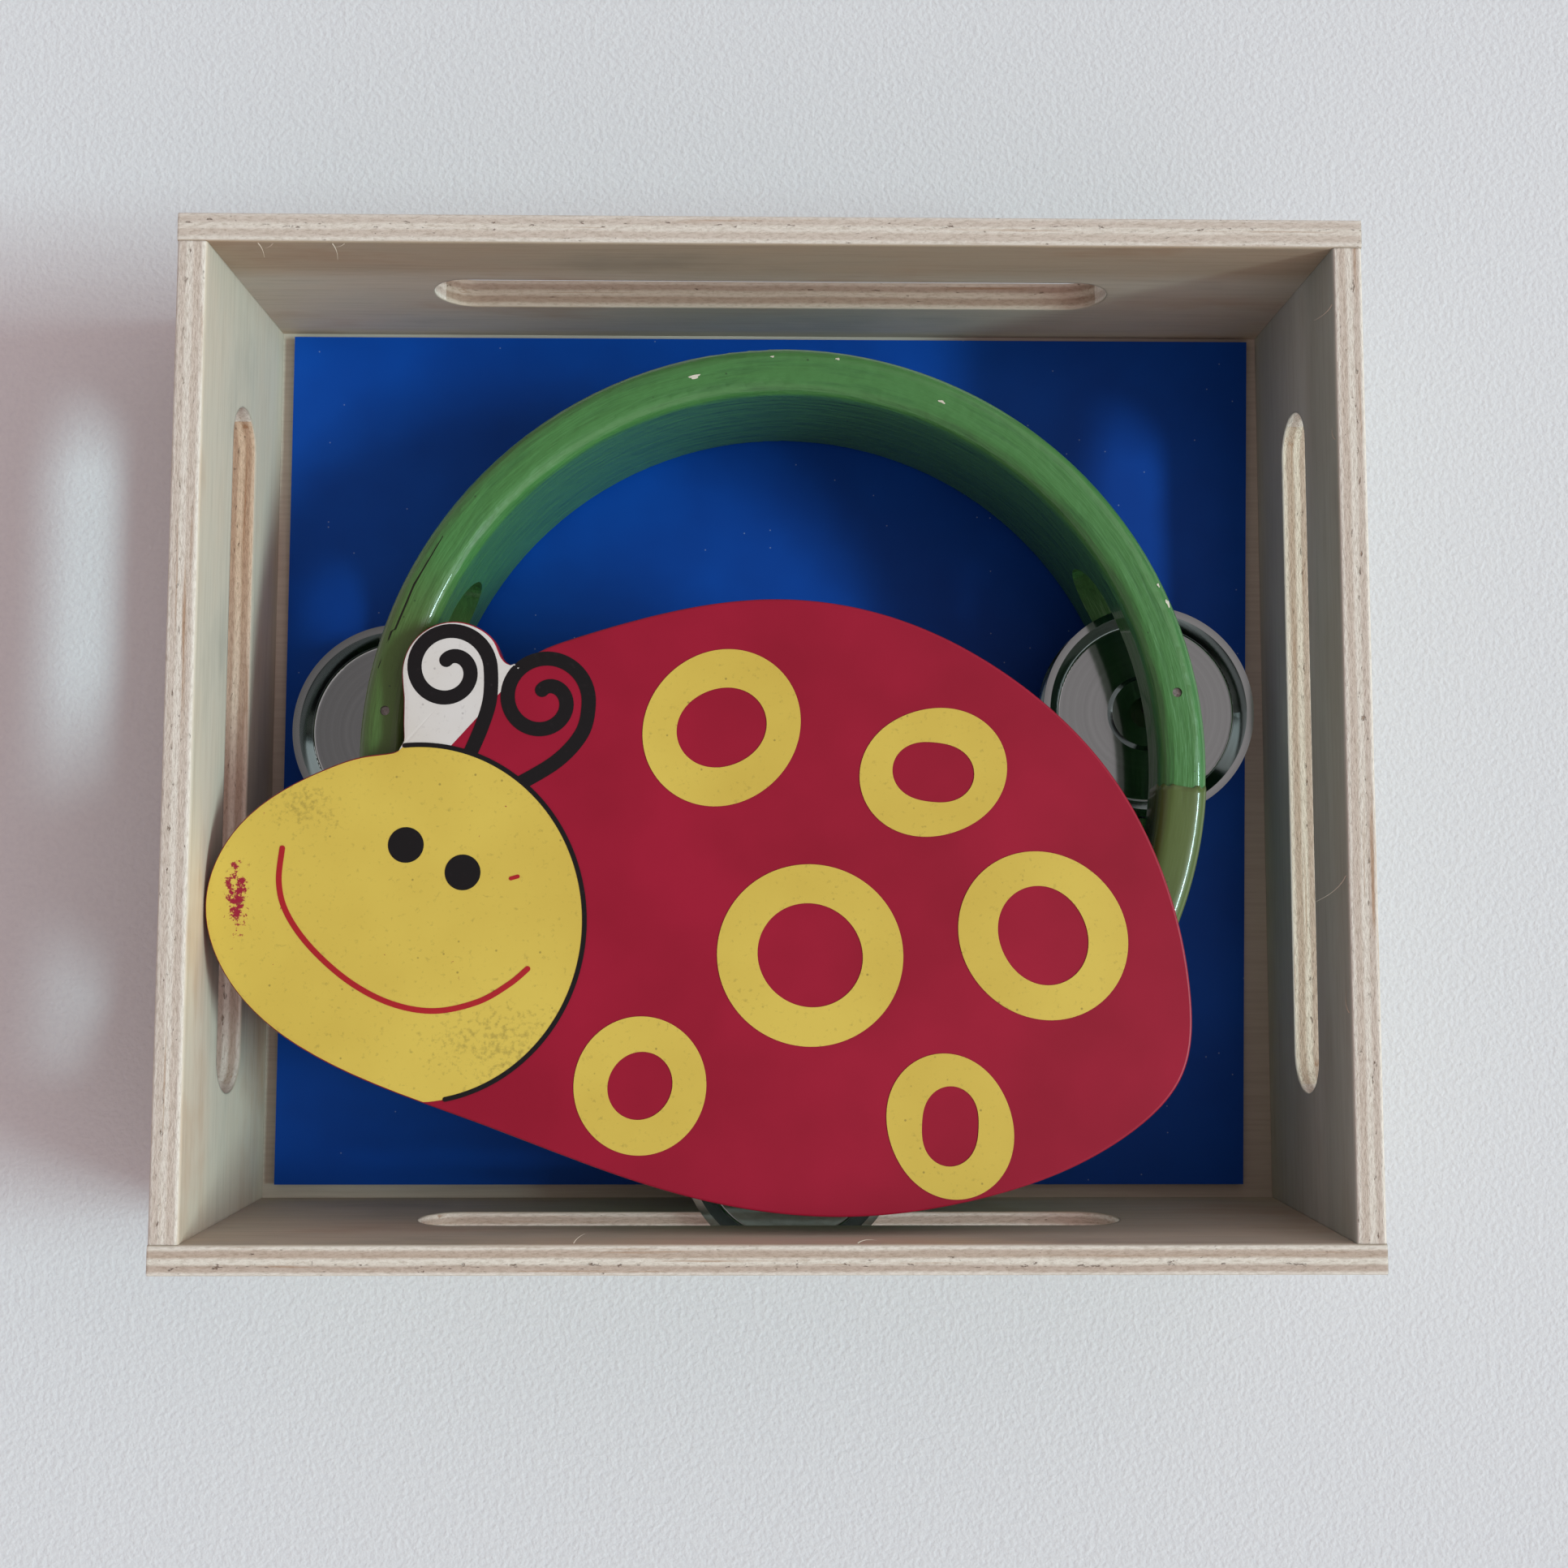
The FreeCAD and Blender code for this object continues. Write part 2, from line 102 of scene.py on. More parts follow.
def polar(middle, radius, angle):  # place at this distance and angle from a middle
    return (middle[0] + radius * math.cos(angle), middle[1] + radius * math.sin(angle))


# Poplar plywood, sawn and lightly sanded: pale matt faces, and edges that show fuzzy plies by turns
plywood = {
    "roughness": 0.75, "ior": 1.45,
    "plies": [(0.0, "#EEE8DC"), (0.13, "#E8E0D2"), (0.21, "#BDA896"), (0.38, "#B8A18C"), (0.48, "#EAE2D4"),
              (0.61, "#E6DECF"), (0.7, "#B9A493"), (0.84, "#C0AC9B"), (0.92, "#E8DFD3")],
    "plain": "#DFD5C9", "slotContrast": 0.75, "waver": 0.16, "waverLength": 30.0, "waverWidth": 6.0,
    "cloudLength": 70.0, "cloudWidth": 26.0,
    "grainShade": [(0.3, "#CBC3B9"), (0.54, "#FFFFFF")], "grainOnFaces": 0.3, "grainOnEdges": 0.65,
    "grainLength": 22.0, "grainWidth": 0.8, "fuzzLength": 1.9, "fuzzWidth": 0.6,
    "streakColour": "#A47D5B", "streakMost": 0.75, "streakLength": 60.0, "streakWidth": 1.5,
    "pitColour": "#A08570", "pitMost": 0.85, "pitLength": 2.2, "pitWidth": 0.7, "glueLine": 0.66,
    "relief": 0.3, "reliefOnFaces": 0.25, "pitSink": -1.5, "arris": 0.7,
    "slotMiddle": 32.0, "slotReach": 8.2, "slotHalf": 72.0, "scorchMost": 0.75,
    "topShadeAndGrimeFrom": 40.0, "topShadeAndGrimeFull": 46.0,
}
warmFaces = [(0.3, "#B3AC9D"), (0.43, "#C4BAA9"), (0.56, "#C8BAA7"), (0.72, "#B99C82")]
greyFaces = [(0.3, "#BDBDB4"), (0.5, "#C7C6BC"), (0.72, "#BDB8AB")]
# each wall: how strongly its rim shows the plies, its inside veneer, and the tones of its slot and of the
# painted shade and grime near its top
walls = {
    "front_wall": {"contrast": 0.8, "faces": warmFaces, "slot": "#FFFFFF", "grime": "#FFFFFF"},
    # the back wall's slot tone is painted shade
    "back_wall": {"contrast": 0.4, "faces": warmFaces, "slot": "#DAD2C9", "grime": "#E6DCD1"},
    "left_wall": {"contrast": 0.4, "faces": warmFaces, "slot": "#F0CEAF", "grime": "#FFFFFF",
                  "scorch": (-45.0, 45.0)},
    "right_wall": {"contrast": 0.5, "faces": greyFaces, "slot": "#FFFCF3", "grime": "#E4E6E4"},
}


def poplarPlywood(nodeName, look):
    material, tree, shader = newMaterial("poplarPlywood" + nodeName.split("_")[0].title(), plywood)
    low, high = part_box(nodeName)
    along, across = (0, 1) if high.x - low.x > high.y - low.y else (1, 0)  # axes of the wall's run and depth
    inner, outer = sorted((abs(low[across]), abs(high[across])))
    place = addNode(tree, "ShaderNodeTexCoord").outputs["Object"]
    axes = addNode(tree, "ShaderNodeSeparateXYZ", None, {0: place})
    depth = addNode(tree, "ShaderNodeMath", {"operation": "ABSOLUTE"}, {0: axes.outputs[across]})
    layer = addNode(tree, "ShaderNodeMapRange", {"From Min": inner, "From Max": outer},
                    {"Value": depth.outputs[0]})

    def figure(pattern, detail, roughness=0.6):  # wood figure of a named size, drawn out along the wall
        scale = [perMetre(plywood[pattern + "Width"])] * 3
        scale[along] = perMetre(plywood[pattern + "Length"])
        mapped = addNode(tree, "ShaderNodeMapping", {"Scale": scale}, {"Vector": place})
        return addNode(tree, "ShaderNodeTexNoise", {"Scale": 1.0, "Detail": detail, "Roughness": roughness},
                       {"Vector": mapped.outputs[0]}).outputs["Fac"]

    # 1 on a sawn edge, 0 on the veneer faces
    edgeIn = addNode(tree, "ShaderNodeMapRange", {"From Min": 0.02, "From Max": 0.07},
                     {"Value": layer.outputs[0]})
    edgeOut = addNode(tree, "ShaderNodeMapRange", {"From Min": 0.99, "From Max": 0.96},
                      {"Value": layer.outputs[0]})
    edge = addNode(tree, "ShaderNodeMath", {"operation": "MULTIPLY"},
                   {0: edgeIn.outputs[0], 1: edgeOut.outputs[0]})
    # plies waver a little along the board
    offset = addNode(tree, "ShaderNodeMath", {"operation": "SUBTRACT", 1: 0.5}, {0: figure("waver", 3.0)})
    share = addNode(tree, "ShaderNodeMath", {"operation": "MULTIPLY", 1: plywood["waver"]},
                    {0: offset.outputs[0]})
    wavy = addNode(tree, "ShaderNodeMath", {"operation": "MULTIPLY_ADD"},
                   {0: share.outputs[0], 1: edge.outputs[0], 2: layer.outputs[0]})
    plies = addNode(tree, "ShaderNodeValToRGB", {"stops": plywood["plies"]}, {0: wavy.outputs[0]})
    # the cut faces of the slot show the plies in their own strength
    slotMiddle, slotReach = plywood["slotMiddle"] * mm, plywood["slotReach"] * mm
    slotHeight = addNode(tree, "ShaderNodeMath", {"operation": "COMPARE", 1: slotMiddle, 2: slotReach},
                         {0: axes.outputs[2]})
    slotLength = addNode(tree, "ShaderNodeMath",
                         {"operation": "COMPARE", 1: 0.0, 2: plywood["slotHalf"] * mm},
                         {0: axes.outputs[along]})
    slot = addNode(tree, "ShaderNodeMath", {"operation": "MULTIPLY"},
                   {0: slotHeight.outputs[0], 1: slotLength.outputs[0]})
    contrast = addNode(tree, "ShaderNodeMapRange",
                       {"To Min": look["contrast"], "To Max": plywood["slotContrast"]},
                       {"Value": slot.outputs[0]})
    striped = addNode(tree, "ShaderNodeMix", {"data_type": "RGBA", 6: linear(plywood["plain"])},
                      {0: contrast.outputs[0], 7: plies.outputs[0]})
    cloud = figure("cloud", 4.0)
    insideFace = addNode(tree, "ShaderNodeValToRGB", {"stops": look["faces"]}, {0: cloud})
    outsideFace = addNode(tree, "ShaderNodeValToRGB", {"stops": warmFaces}, {0: cloud})
    inside = addNode(tree, "ShaderNodeMath", {"operation": "LESS_THAN", 1: 0.5}, {0: layer.outputs[0]})
    faces = addNode(tree, "ShaderNodeMix", {"data_type": "RGBA"},
                    {0: inside.outputs[0], 6: outsideFace.outputs[0], 7: insideFace.outputs[0]})
    # painted shade, with some grime: the inside is a little darker near the top
    upper = addNode(tree, "ShaderNodeMapRange",
                    {"From Min": plywood["topShadeAndGrimeFrom"] * mm, "From Max": plywood["topShadeAndGrimeFull"] * mm},
                    {"Value": axes.outputs[2]})
    topShadeAndGrime = addNode(tree, "ShaderNodeMath", {"operation": "MULTIPLY"},
                      {0: upper.outputs[0], 1: inside.outputs[0]})
    # the grime tone darkens the top of the inside: painted shade, with some grime
    grimy = addNode(tree, "ShaderNodeMix",
                    {"data_type": "RGBA", "blend_type": "MULTIPLY", 7: linear(look["grime"])},
                    {0: topShadeAndGrime.outputs[0], 6: faces.outputs[2]})
    wood = addNode(tree, "ShaderNodeMix", {"data_type": "RGBA"},
                   {0: edge.outputs[0], 6: grimy.outputs[2], 7: striped.outputs[2]})
    # long grain on the faces, short torn fuzz on the edges
    grain = addNode(tree, "ShaderNodeMix", {"data_type": "FLOAT"},
                    {0: edge.outputs[0], 2: figure("grain", 4.0, 0.7),
                     3: figure("fuzz", 4.0, 0.7)}).outputs[0]
    grainTone = addNode(tree, "ShaderNodeValToRGB", {"stops": plywood["grainShade"]}, {0: grain})
    grainShare = addNode(tree, "ShaderNodeMapRange",
                         {"To Min": plywood["grainOnFaces"], "To Max": plywood["grainOnEdges"]},
                         {"Value": edge.outputs[0]})
    toned = addNode(tree, "ShaderNodeMix", {"data_type": "RGBA", "blend_type": "MULTIPLY"},
                    {0: grainShare.outputs[0], 6: wood.outputs[2], 7: grainTone.outputs[0]})
    # brown streaks of heartwood on the sawn edges
    streak = addNode(tree, "ShaderNodeMapRange",
                     {"From Min": 0.6, "From Max": 0.72, "To Max": plywood["streakMost"]},
                     {"Value": figure("streak", 3.0)})
    streakEdge = addNode(tree, "ShaderNodeMath", {"operation": "MULTIPLY"},
                         {0: edge.outputs[0], 1: streak.outputs[0]})
    streaked = addNode(tree, "ShaderNodeMix", {"data_type": "RGBA", 7: linear(plywood["streakColour"])},
                       {0: streakEdge.outputs[0], 6: toned.outputs[2]})
    # torn pores, thickest along the glue line; drawn a little coarser than real so that they show
    gluePart = addNode(tree, "ShaderNodeMath", {"operation": "SUBTRACT", 1: plywood["glueLine"]},
                       {0: wavy.outputs[0]})
    glueAway = addNode(tree, "ShaderNodeMath", {"operation": "ABSOLUTE"}, {0: gluePart.outputs[0]})
    glueNear = addNode(tree, "ShaderNodeMapRange",
                       {"From Min": 0.03, "From Max": 0.12, "To Min": 0.07, "To Max": 0.0},
                       {"Value": glueAway.outputs[0]})
    pitSum = addNode(tree, "ShaderNodeMath", {"operation": "ADD"},
                     {0: figure("pit", 3.0), 1: glueNear.outputs[0]})
    pitMask = addNode(tree, "ShaderNodeMapRange",
                      {"From Min": 0.69, "From Max": 0.78, "To Max": plywood["pitMost"]},
                      {"Value": pitSum.outputs[0]})
    pitEdge = addNode(tree, "ShaderNodeMath", {"operation": "MULTIPLY"},
                      {0: edge.outputs[0], 1: pitMask.outputs[0]})
    pitted = addNode(tree, "ShaderNodeMix", {"data_type": "RGBA", 7: linear(plywood["pitColour"])},
                     {0: pitEdge.outputs[0], 6: streaked.outputs[2]})
    slotEdge = addNode(tree, "ShaderNodeMath", {"operation": "MULTIPLY"},
                       {0: slot.outputs[0], 1: edge.outputs[0]})
    if "scorch" in look:  # the cutter scorched one end of the slot
        start, full = look["scorch"]
        end = addNode(tree, "ShaderNodeMapRange",
                      {"From Min": start * mm, "From Max": full * mm, "To Max": plywood["scorchMost"]},
                      {"Value": axes.outputs[along]})
        slotEdge = addNode(tree, "ShaderNodeMath", {"operation": "MULTIPLY"},
                           {0: slotEdge.outputs[0], 1: end.outputs[0]})
    # the slot's cut faces take the wall's slot tone: painted shade on the back wall, scorch on the left wall
    final = addNode(tree, "ShaderNodeMix",
                    {"data_type": "RGBA", "blend_type": "MULTIPLY", 7: linear(look["slot"])},
                    {0: slotEdge.outputs[0], 6: pitted.outputs[2]})
    tree.links.new(final.outputs[2], shader.inputs["Base Color"])
    sink = addNode(tree, "ShaderNodeMath", {"operation": "MULTIPLY_ADD", 1: plywood["pitSink"]},
                   {0: pitEdge.outputs[0], 2: grain})
    depthShare = addNode(tree, "ShaderNodeMapRange", {"To Min": plywood["reliefOnFaces"], "To Max": 1.0},
                         {"Value": edge.outputs[0]})
    arris = addNode(tree, "ShaderNodeBevel", {"samples": 4, "Radius": plywood["arris"] * mm})  # sanded
    bump = addNode(tree, "ShaderNodeBump", {"Distance": plywood["relief"] * mm},
                   {"Height": sink.outputs[0], "Strength": depthShare.outputs[0], "Normal": arris.outputs[0]})
    tree.links.new(bump.outputs[0], shader.inputs["Normal"])
    return material


wallFinish = {}
for name, look in walls.items():
    wallFinish[name] = poplarPlywood(name, look)
    finishNode(name, wallFinish[name])

# Thin poplar veneer panel, bare: a pale matt margin round the painted board
panelVeneer = {"roughness": 0.75, "ior": 1.45, "colour": "#C9C0B0", "dark": "#C0B6A6",
               "grainLength": 20.0, "grainWidth": 0.8, "relief": 0.1}


def bareVeneer():
    material, tree, shader = newMaterial("poplarVeneer", panelVeneer)
    place = addNode(tree, "ShaderNodeTexCoord").outputs["Object"]
    across = perMetre(panelVeneer["grainWidth"])
    mapped = addNode(tree, "ShaderNodeMapping",
                     {"Scale": (perMetre(panelVeneer["grainLength"]), across, across)}, {"Vector": place})
    grain = addNode(tree, "ShaderNodeTexNoise", {"Scale": 1.0, "Detail": 4.0}, {"Vector": mapped.outputs[0]})
    tone = addNode(tree, "ShaderNodeValToRGB",
                   {"stops": [(0.35, panelVeneer["dark"]), (0.6, panelVeneer["colour"])]},
                   {0: grain.outputs["Fac"]})
    tree.links.new(tone.outputs[0], shader.inputs["Base Color"])
    bump = addNode(tree, "ShaderNodeBump", {"Strength": 0.3, "Distance": panelVeneer["relief"] * mm},
                   {"Height": grain.outputs["Fac"]})
    tree.links.new(bump.outputs[0], shader.inputs["Normal"])
    return material


finishNode("bottom_panel", bareVeneer())

# Rolled satin paint on board: an even deep blue, faint roller stipple, a little sawdust lying on it
bluePaint = {"roughness": 0.5, "ior": 1.45, "specular": 0.2, "colour": "#0049AA", "deep": "#00409A",
             "cloud": 30.0, "stipple": 0.9, "relief": 0.1,
             "dust": "#A9BCCB", "dustMost": 0.55, "speckSpacing": 3.0, "speckChance": 0.035}


def satinBluePaint():
    material, tree, shader = newMaterial("satinBluePaint", bluePaint)
    place = addNode(tree, "ShaderNodeTexCoord").outputs["Object"]
    cloud = addNode(tree, "ShaderNodeTexNoise", {"Scale": perMetre(bluePaint["cloud"]), "Detail": 3.0},
                    {"Vector": place})
    tone = addNode(tree, "ShaderNodeValToRGB",
                   {"stops": [(0.35, bluePaint["deep"]), (0.65, bluePaint["colour"])]},
                   {0: cloud.outputs["Fac"]})
    # one cell in many holds a dust speck
    cells = addNode(tree, "ShaderNodeTexVoronoi",
                    {"voronoi_dimensions": "2D", "Scale": perMetre(bluePaint["speckSpacing"])},
                    {"Vector": place})
    chance = addNode(tree, "ShaderNodeSeparateColor", None, {0: cells.outputs["Color"]})
    rare = addNode(tree, "ShaderNodeMath", {"operation": "GREATER_THAN", 1: 1.0 - bluePaint["speckChance"]},
                   {0: chance.outputs[0]})
    near = addNode(tree, "ShaderNodeMapRange",
                   {"From Min": 0.07, "From Max": 0.02, "To Max": bluePaint["dustMost"]},
                   {"Value": cells.outputs["Distance"]})
    dust = addNode(tree, "ShaderNodeMath", {"operation": "MULTIPLY"},
                   {0: rare.outputs[0], 1: near.outputs[0]})
    dusty = addNode(tree, "ShaderNodeMix", {"data_type": "RGBA", 7: linear(bluePaint["dust"])},
                    {0: dust.outputs[0], 6: tone.outputs[0]})
    tree.links.new(dusty.outputs[2], shader.inputs["Base Color"])
    stipple = addNode(tree, "ShaderNodeTexNoise", {"Scale": perMetre(bluePaint["stipple"]), "Detail": 2.0},
                      {"Vector": place})
    bump = addNode(tree, "ShaderNodeBump", {"Strength": 0.12, "Distance": bluePaint["relief"] * mm},
                   {"Height": stipple.outputs["Fac"]})
    tree.links.new(bump.outputs[0], shader.inputs["Normal"])
    return material


finishNode("floor_board", satinBluePaint())
print("tray finished")

# Brushed gloss enamel on bent wood: ridges of the grain show through, with pinholes over pores
hoopSizes = {"wall": 10.0, "rounding": 3.2}
hoopLow, hoopHigh = (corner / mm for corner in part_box("hoop"))
hoopMiddle = (hoopLow + hoopHigh) / 2
hoopOuter = (hoopHigh.x - hoopLow.x) / 2
hoopInner = hoopOuter - hoopSizes["wall"]
enamel = {"roughness": 0.4, "ior": 1.5, "specular": 0.35, "coat": 0.5, "coatRoughness": 0.04,
          "poreSpacing": 5.0, "poreMost": 0.7, "lumpShare": 0.8, "relief": 0.6,
          # these keys give the hoop's left side its painted shade, between these angles round the hoop
          "leftShadeColour": "#4F6330", "leftShadeFrom": 148.0, "leftShadeFull": 160.0, "leftShadeMost": 0.75}
greenPaint = {"colour": "#457B40", "shade": "#3A6C39", "pinhole": "#22381F",
              "ridgeWidth": 1.5, "ridgeLength": 14.0, "ridgeStrength": 0.65, "lump": 4.5}
lapPaint = {"colour": "#556632", "shade": "#4D5C2B", "pinhole": "#394420",
            "ridgeWidth": 2.5, "ridgeLength": 20.0, "ridgeStrength": 0.2, "lump": 9.0}


def brushedEnamel(name, paint):
    material, tree, shader = newMaterial(name, enamel)
    place = addNode(tree, "ShaderNodeTexCoord").outputs["Object"]
    centre = (hoopMiddle.x * mm, hoopMiddle.y * mm, 0)
    local = addNode(tree, "ShaderNodeVectorMath", {"operation": "SUBTRACT", 1: centre}, {0: place})
    axes = addNode(tree, "ShaderNodeSeparateXYZ", None, {0: local.outputs[0]})
    turn = addNode(tree, "ShaderNodeMath", {"operation": "ARCTAN2"},
                   {0: axes.outputs[1], 1: axes.outputs[0]})
    flat = addNode(tree, "ShaderNodeCombineXYZ", None, {0: axes.outputs[0], 1: axes.outputs[1]})
    radius = addNode(tree, "ShaderNodeVectorMath", {"operation": "LENGTH"}, {0: flat.outputs[0]})
    along = addNode(tree, "ShaderNodeMath",
                    {"operation": "MULTIPLY", 1: hoopOuter / paint["ridgeLength"]},
                    {0: turn.outputs[0]})
    across = addNode(tree, "ShaderNodeMath", {"operation": "MULTIPLY", 1: perMetre(paint["ridgeWidth"])},
                     {0: radius.outputs["Value"]})
    height = addNode(tree, "ShaderNodeMath", {"operation": "MULTIPLY", 1: perMetre(paint["ridgeWidth"])},
                     {0: axes.outputs[2]})
    grainPlace = addNode(tree, "ShaderNodeCombineXYZ", None,
                         {0: along.outputs[0], 1: across.outputs[0], 2: height.outputs[0]})
    ridges = addNode(tree, "ShaderNodeTexNoise", {"Scale": 1.0, "Detail": 3.0, "Roughness": 0.55},
                     {"Vector": grainPlace.outputs[0]})
    tone = addNode(tree, "ShaderNodeValToRGB", {"stops": [(0.25, paint["shade"]), (0.5, paint["colour"])]},
                   {0: ridges.outputs["Fac"]})
    # painted shade: the hoop's left side is darkened towards an olive brown
    sideways = addNode(tree, "ShaderNodeMath", {"operation": "ABSOLUTE"}, {0: turn.outputs[0]})
    leftShade = addNode(tree, "ShaderNodeMapRange",
                   {"From Min": math.radians(enamel["leftShadeFrom"]),
                    "From Max": math.radians(enamel["leftShadeFull"]), "To Max": enamel["leftShadeMost"]},
                   {"Value": sideways.outputs[0]})
    leftShaded = addNode(tree, "ShaderNodeMix", {"data_type": "RGBA", 7: linear(enamel["leftShadeColour"])},
                     {0: leftShade.outputs[0], 6: tone.outputs[0]})
    lumps = addNode(tree, "ShaderNodeTexNoise", {"Scale": perMetre(paint["lump"]), "Detail": 2.0},
                    {"Vector": place})
    uneven = addNode(tree, "ShaderNodeMath", {"operation": "MULTIPLY_ADD", 1: enamel["lumpShare"]},
                     {0: lumps.outputs["Fac"], 2: ridges.outputs["Fac"]})
    pores = addNode(tree, "ShaderNodeTexVoronoi", {"Scale": perMetre(enamel["poreSpacing"])},
                    {"Vector": place})
    pore = addNode(tree, "ShaderNodeMapRange",
                   {"From Min": 0.06, "From Max": 0.03, "To Max": enamel["poreMost"]},
                   {"Value": pores.outputs["Distance"]})
    pinholed = addNode(tree, "ShaderNodeMix", {"data_type": "RGBA", 7: linear(paint["pinhole"])},
                       {0: pore.outputs[0], 6: leftShaded.outputs[2]})
    tree.links.new(pinholed.outputs[2], shader.inputs["Base Color"])
    bump = addNode(tree, "ShaderNodeBump",
                   {"Strength": paint["ridgeStrength"], "Distance": enamel["relief"] * mm},
                   {"Height": uneven.outputs[0]})
    tree.links.new(bump.outputs[0], shader.inputs["Normal"])
    return material


finishNode("hoop", brushedEnamel("greenEnamel", greenPaint))

# Gloss spray paint on plywood: an even crimson with a slight orange peel, darker on the plate's sides
redPaint = {"roughness": 0.42, "ior": 1.45, "specular": 0.35, "colour": "#9F1331", "deep": "#920E2A",
            "side": "#6E1B22", "cloud": 28.0, "peel": 1.6, "relief": 0.1}


def crimsonPaint():
    material, tree, shader = newMaterial("crimsonPaint", redPaint)
    place = addNode(tree, "ShaderNodeTexCoord").outputs["Object"]
    cloud = addNode(tree, "ShaderNodeTexNoise", {"Scale": perMetre(redPaint["cloud"]), "Detail": 3.0},
                    {"Vector": place})
    tone = addNode(tree, "ShaderNodeValToRGB",
                   {"stops": [(0.35, redPaint["deep"]), (0.65, redPaint["colour"])]},
                   {0: cloud.outputs["Fac"]})
    facing = addNode(tree, "ShaderNodeTexCoord").outputs["Normal"]  # the plate's own, so it tips with it
    upright = addNode(tree, "ShaderNodeSeparateXYZ", None, {0: facing})
    # the sides and rounded edges are drawn darker, more the further they tip from level
    side = addNode(tree, "ShaderNodeMapRange", {"From Min": 0.75, "From Max": 0.3},
                   {"Value": upright.outputs[2]})
    sided = addNode(tree, "ShaderNodeMix", {"data_type": "RGBA", 7: linear(redPaint["side"])},
                    {0: side.outputs[0], 6: tone.outputs[0]})
    tree.links.new(sided.outputs[2], shader.inputs["Base Color"])
    peel = addNode(tree, "ShaderNodeTexNoise", {"Scale": perMetre(redPaint["peel"]), "Detail": 1.0},
                   {"Vector": place})
    bump = addNode(tree, "ShaderNodeBump", {"Strength": 0.08, "Distance": redPaint["relief"] * mm},
                   {"Height": peel.outputs["Fac"]})
    tree.links.new(bump.outputs[0], shader.inputs["Normal"])
    return material


finishNode("ladybird_plate", crimsonPaint())

# Spun and polished tinplate: mirror-like, with fine turning rings about the disc's own middle
jingleSteel = {"metallic": 1.0, "dark": "#A6B3B2", "light": "#B1BFBE", "haze": (0.07, 0.12),
               "ringSpacing": 1.6, "relief": 0.03}


def polishedTinplate():
    material, tree, shader = newMaterial("polishedTinplate", jingleSteel)
    place = addNode(tree, "ShaderNodeTexCoord").outputs["Generated"]  # 0 to 1 across each disc
    low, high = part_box("right_lower_jingle")
    ringScale = (high.x - low.x) * perMetre(jingleSteel["ringSpacing"])
    middle = addNode(tree, "ShaderNodeVectorMath", {"operation": "SUBTRACT", 1: (0.5, 0.5, 0.5)},
                     {0: place})
    axes = addNode(tree, "ShaderNodeSeparateXYZ", None, {0: middle.outputs[0]})
    flat = addNode(tree, "ShaderNodeCombineXYZ", None, {0: axes.outputs[0], 1: axes.outputs[1]})
    radius = addNode(tree, "ShaderNodeVectorMath", {"operation": "LENGTH"}, {0: flat.outputs[0]})
    rings = addNode(tree, "ShaderNodeTexNoise",
                    {"noise_dimensions": "1D", "Scale": ringScale, "Detail": 3.0},
                    {"W": radius.outputs["Value"]})
    tone = addNode(tree, "ShaderNodeValToRGB",
                   {"stops": [(0.3, jingleSteel["dark"]), (0.7, jingleSteel["light"])]},
                   {0: rings.outputs["Fac"]})
    tree.links.new(tone.outputs[0], shader.inputs["Base Color"])
    clearest, haziest = jingleSteel["haze"]
    haze = addNode(tree, "ShaderNodeMapRange", {"To Min": clearest, "To Max": haziest},
                   {"Value": rings.outputs["Fac"]})
    tree.links.new(haze.outputs[0], shader.inputs["Roughness"])
    bump = addNode(tree, "ShaderNodeBump", {"Strength": 0.012, "Distance": jingleSteel["relief"] * mm},
                   {"Height": rings.outputs["Fac"]})
    tree.links.new(bump.outputs[0], shader.inputs["Normal"])
    return material


tinplate = polishedTinplate()
for name in nodes:
    if name.endswith("_jingle"):
        finishNode(name, tinplate)

# Drawn steel wire: dull grey with faint drawing marks
nailSteel = {"roughness": 0.4, "metallic": 1.0, "dark": "#77746F", "light": "#A29F9A", "markWidth": 0.4}


def drawnWire():
    material, tree, shader = newMaterial("drawnSteelWire", nailSteel)
    place = addNode(tree, "ShaderNodeTexCoord").outputs["Object"]
    marks = addNode(tree, "ShaderNodeTexNoise", {"Scale": perMetre(nailSteel["markWidth"]), "Detail": 2.0},
                    {"Vector": place})
    tone = addNode(tree, "ShaderNodeValToRGB",
                   {"stops": [(0.3, nailSteel["dark"]), (0.7, nailSteel["light"])]},
                   {0: marks.outputs["Fac"]})
    tree.links.new(tone.outputs[0], shader.inputs["Base Color"])
    return material


wire = drawnWire()
for name in ("corner_nails", "right_jingle_pin", "left_jingle_pin", "front_jingle_pin"):
    finishNode(name, wire)
print("tambourine finished")

# Screen ink and chipped paint: flat and even, scuffed in places so that what lies below shows
inks = {  # each: its own colour, what a scuff shows, its specks and grime
    "roughness": 0.48, "ior": 1.45, "specular": 0.35,
    "yellow": ("#D9BF55", "#9A2036", "#7A6A34"), "black": ("#110F11", "#241C20", "#2B2427"),
    "white": ("#DAD7D4", "#B9B2AE", "#A39C98"), "red": ("#AE2028", "#9C1D38", "#8A1F26"),
    "primer": ("#D9D3C4", "#B8AE98", "#8E836C"), "crack": ("#1B1B12", "#2A2A1C", "#11110B"),
    "cloud": 35.0, "cloudShade": [(0.3, "#F2EDE4"), (0.65, "#FFFFFF")],
    "noseWear": (-107.2, -32.6), "noseReach": (4.2, 13.0), "noseScuff": 0.27, "scuffSize": 1.5,
    "grimeSize": 1.1, "grimeSpots": [((-53.0, -62.0), (21.0, 11.0)), ((-94.0, -14.0), (10.0, 8.0))],
    "grimeMost": 0.42, "grimeRise": 0.14, "speckSpacing": 4.0, "speckMost": 0.6, "relief": 0.08,
}


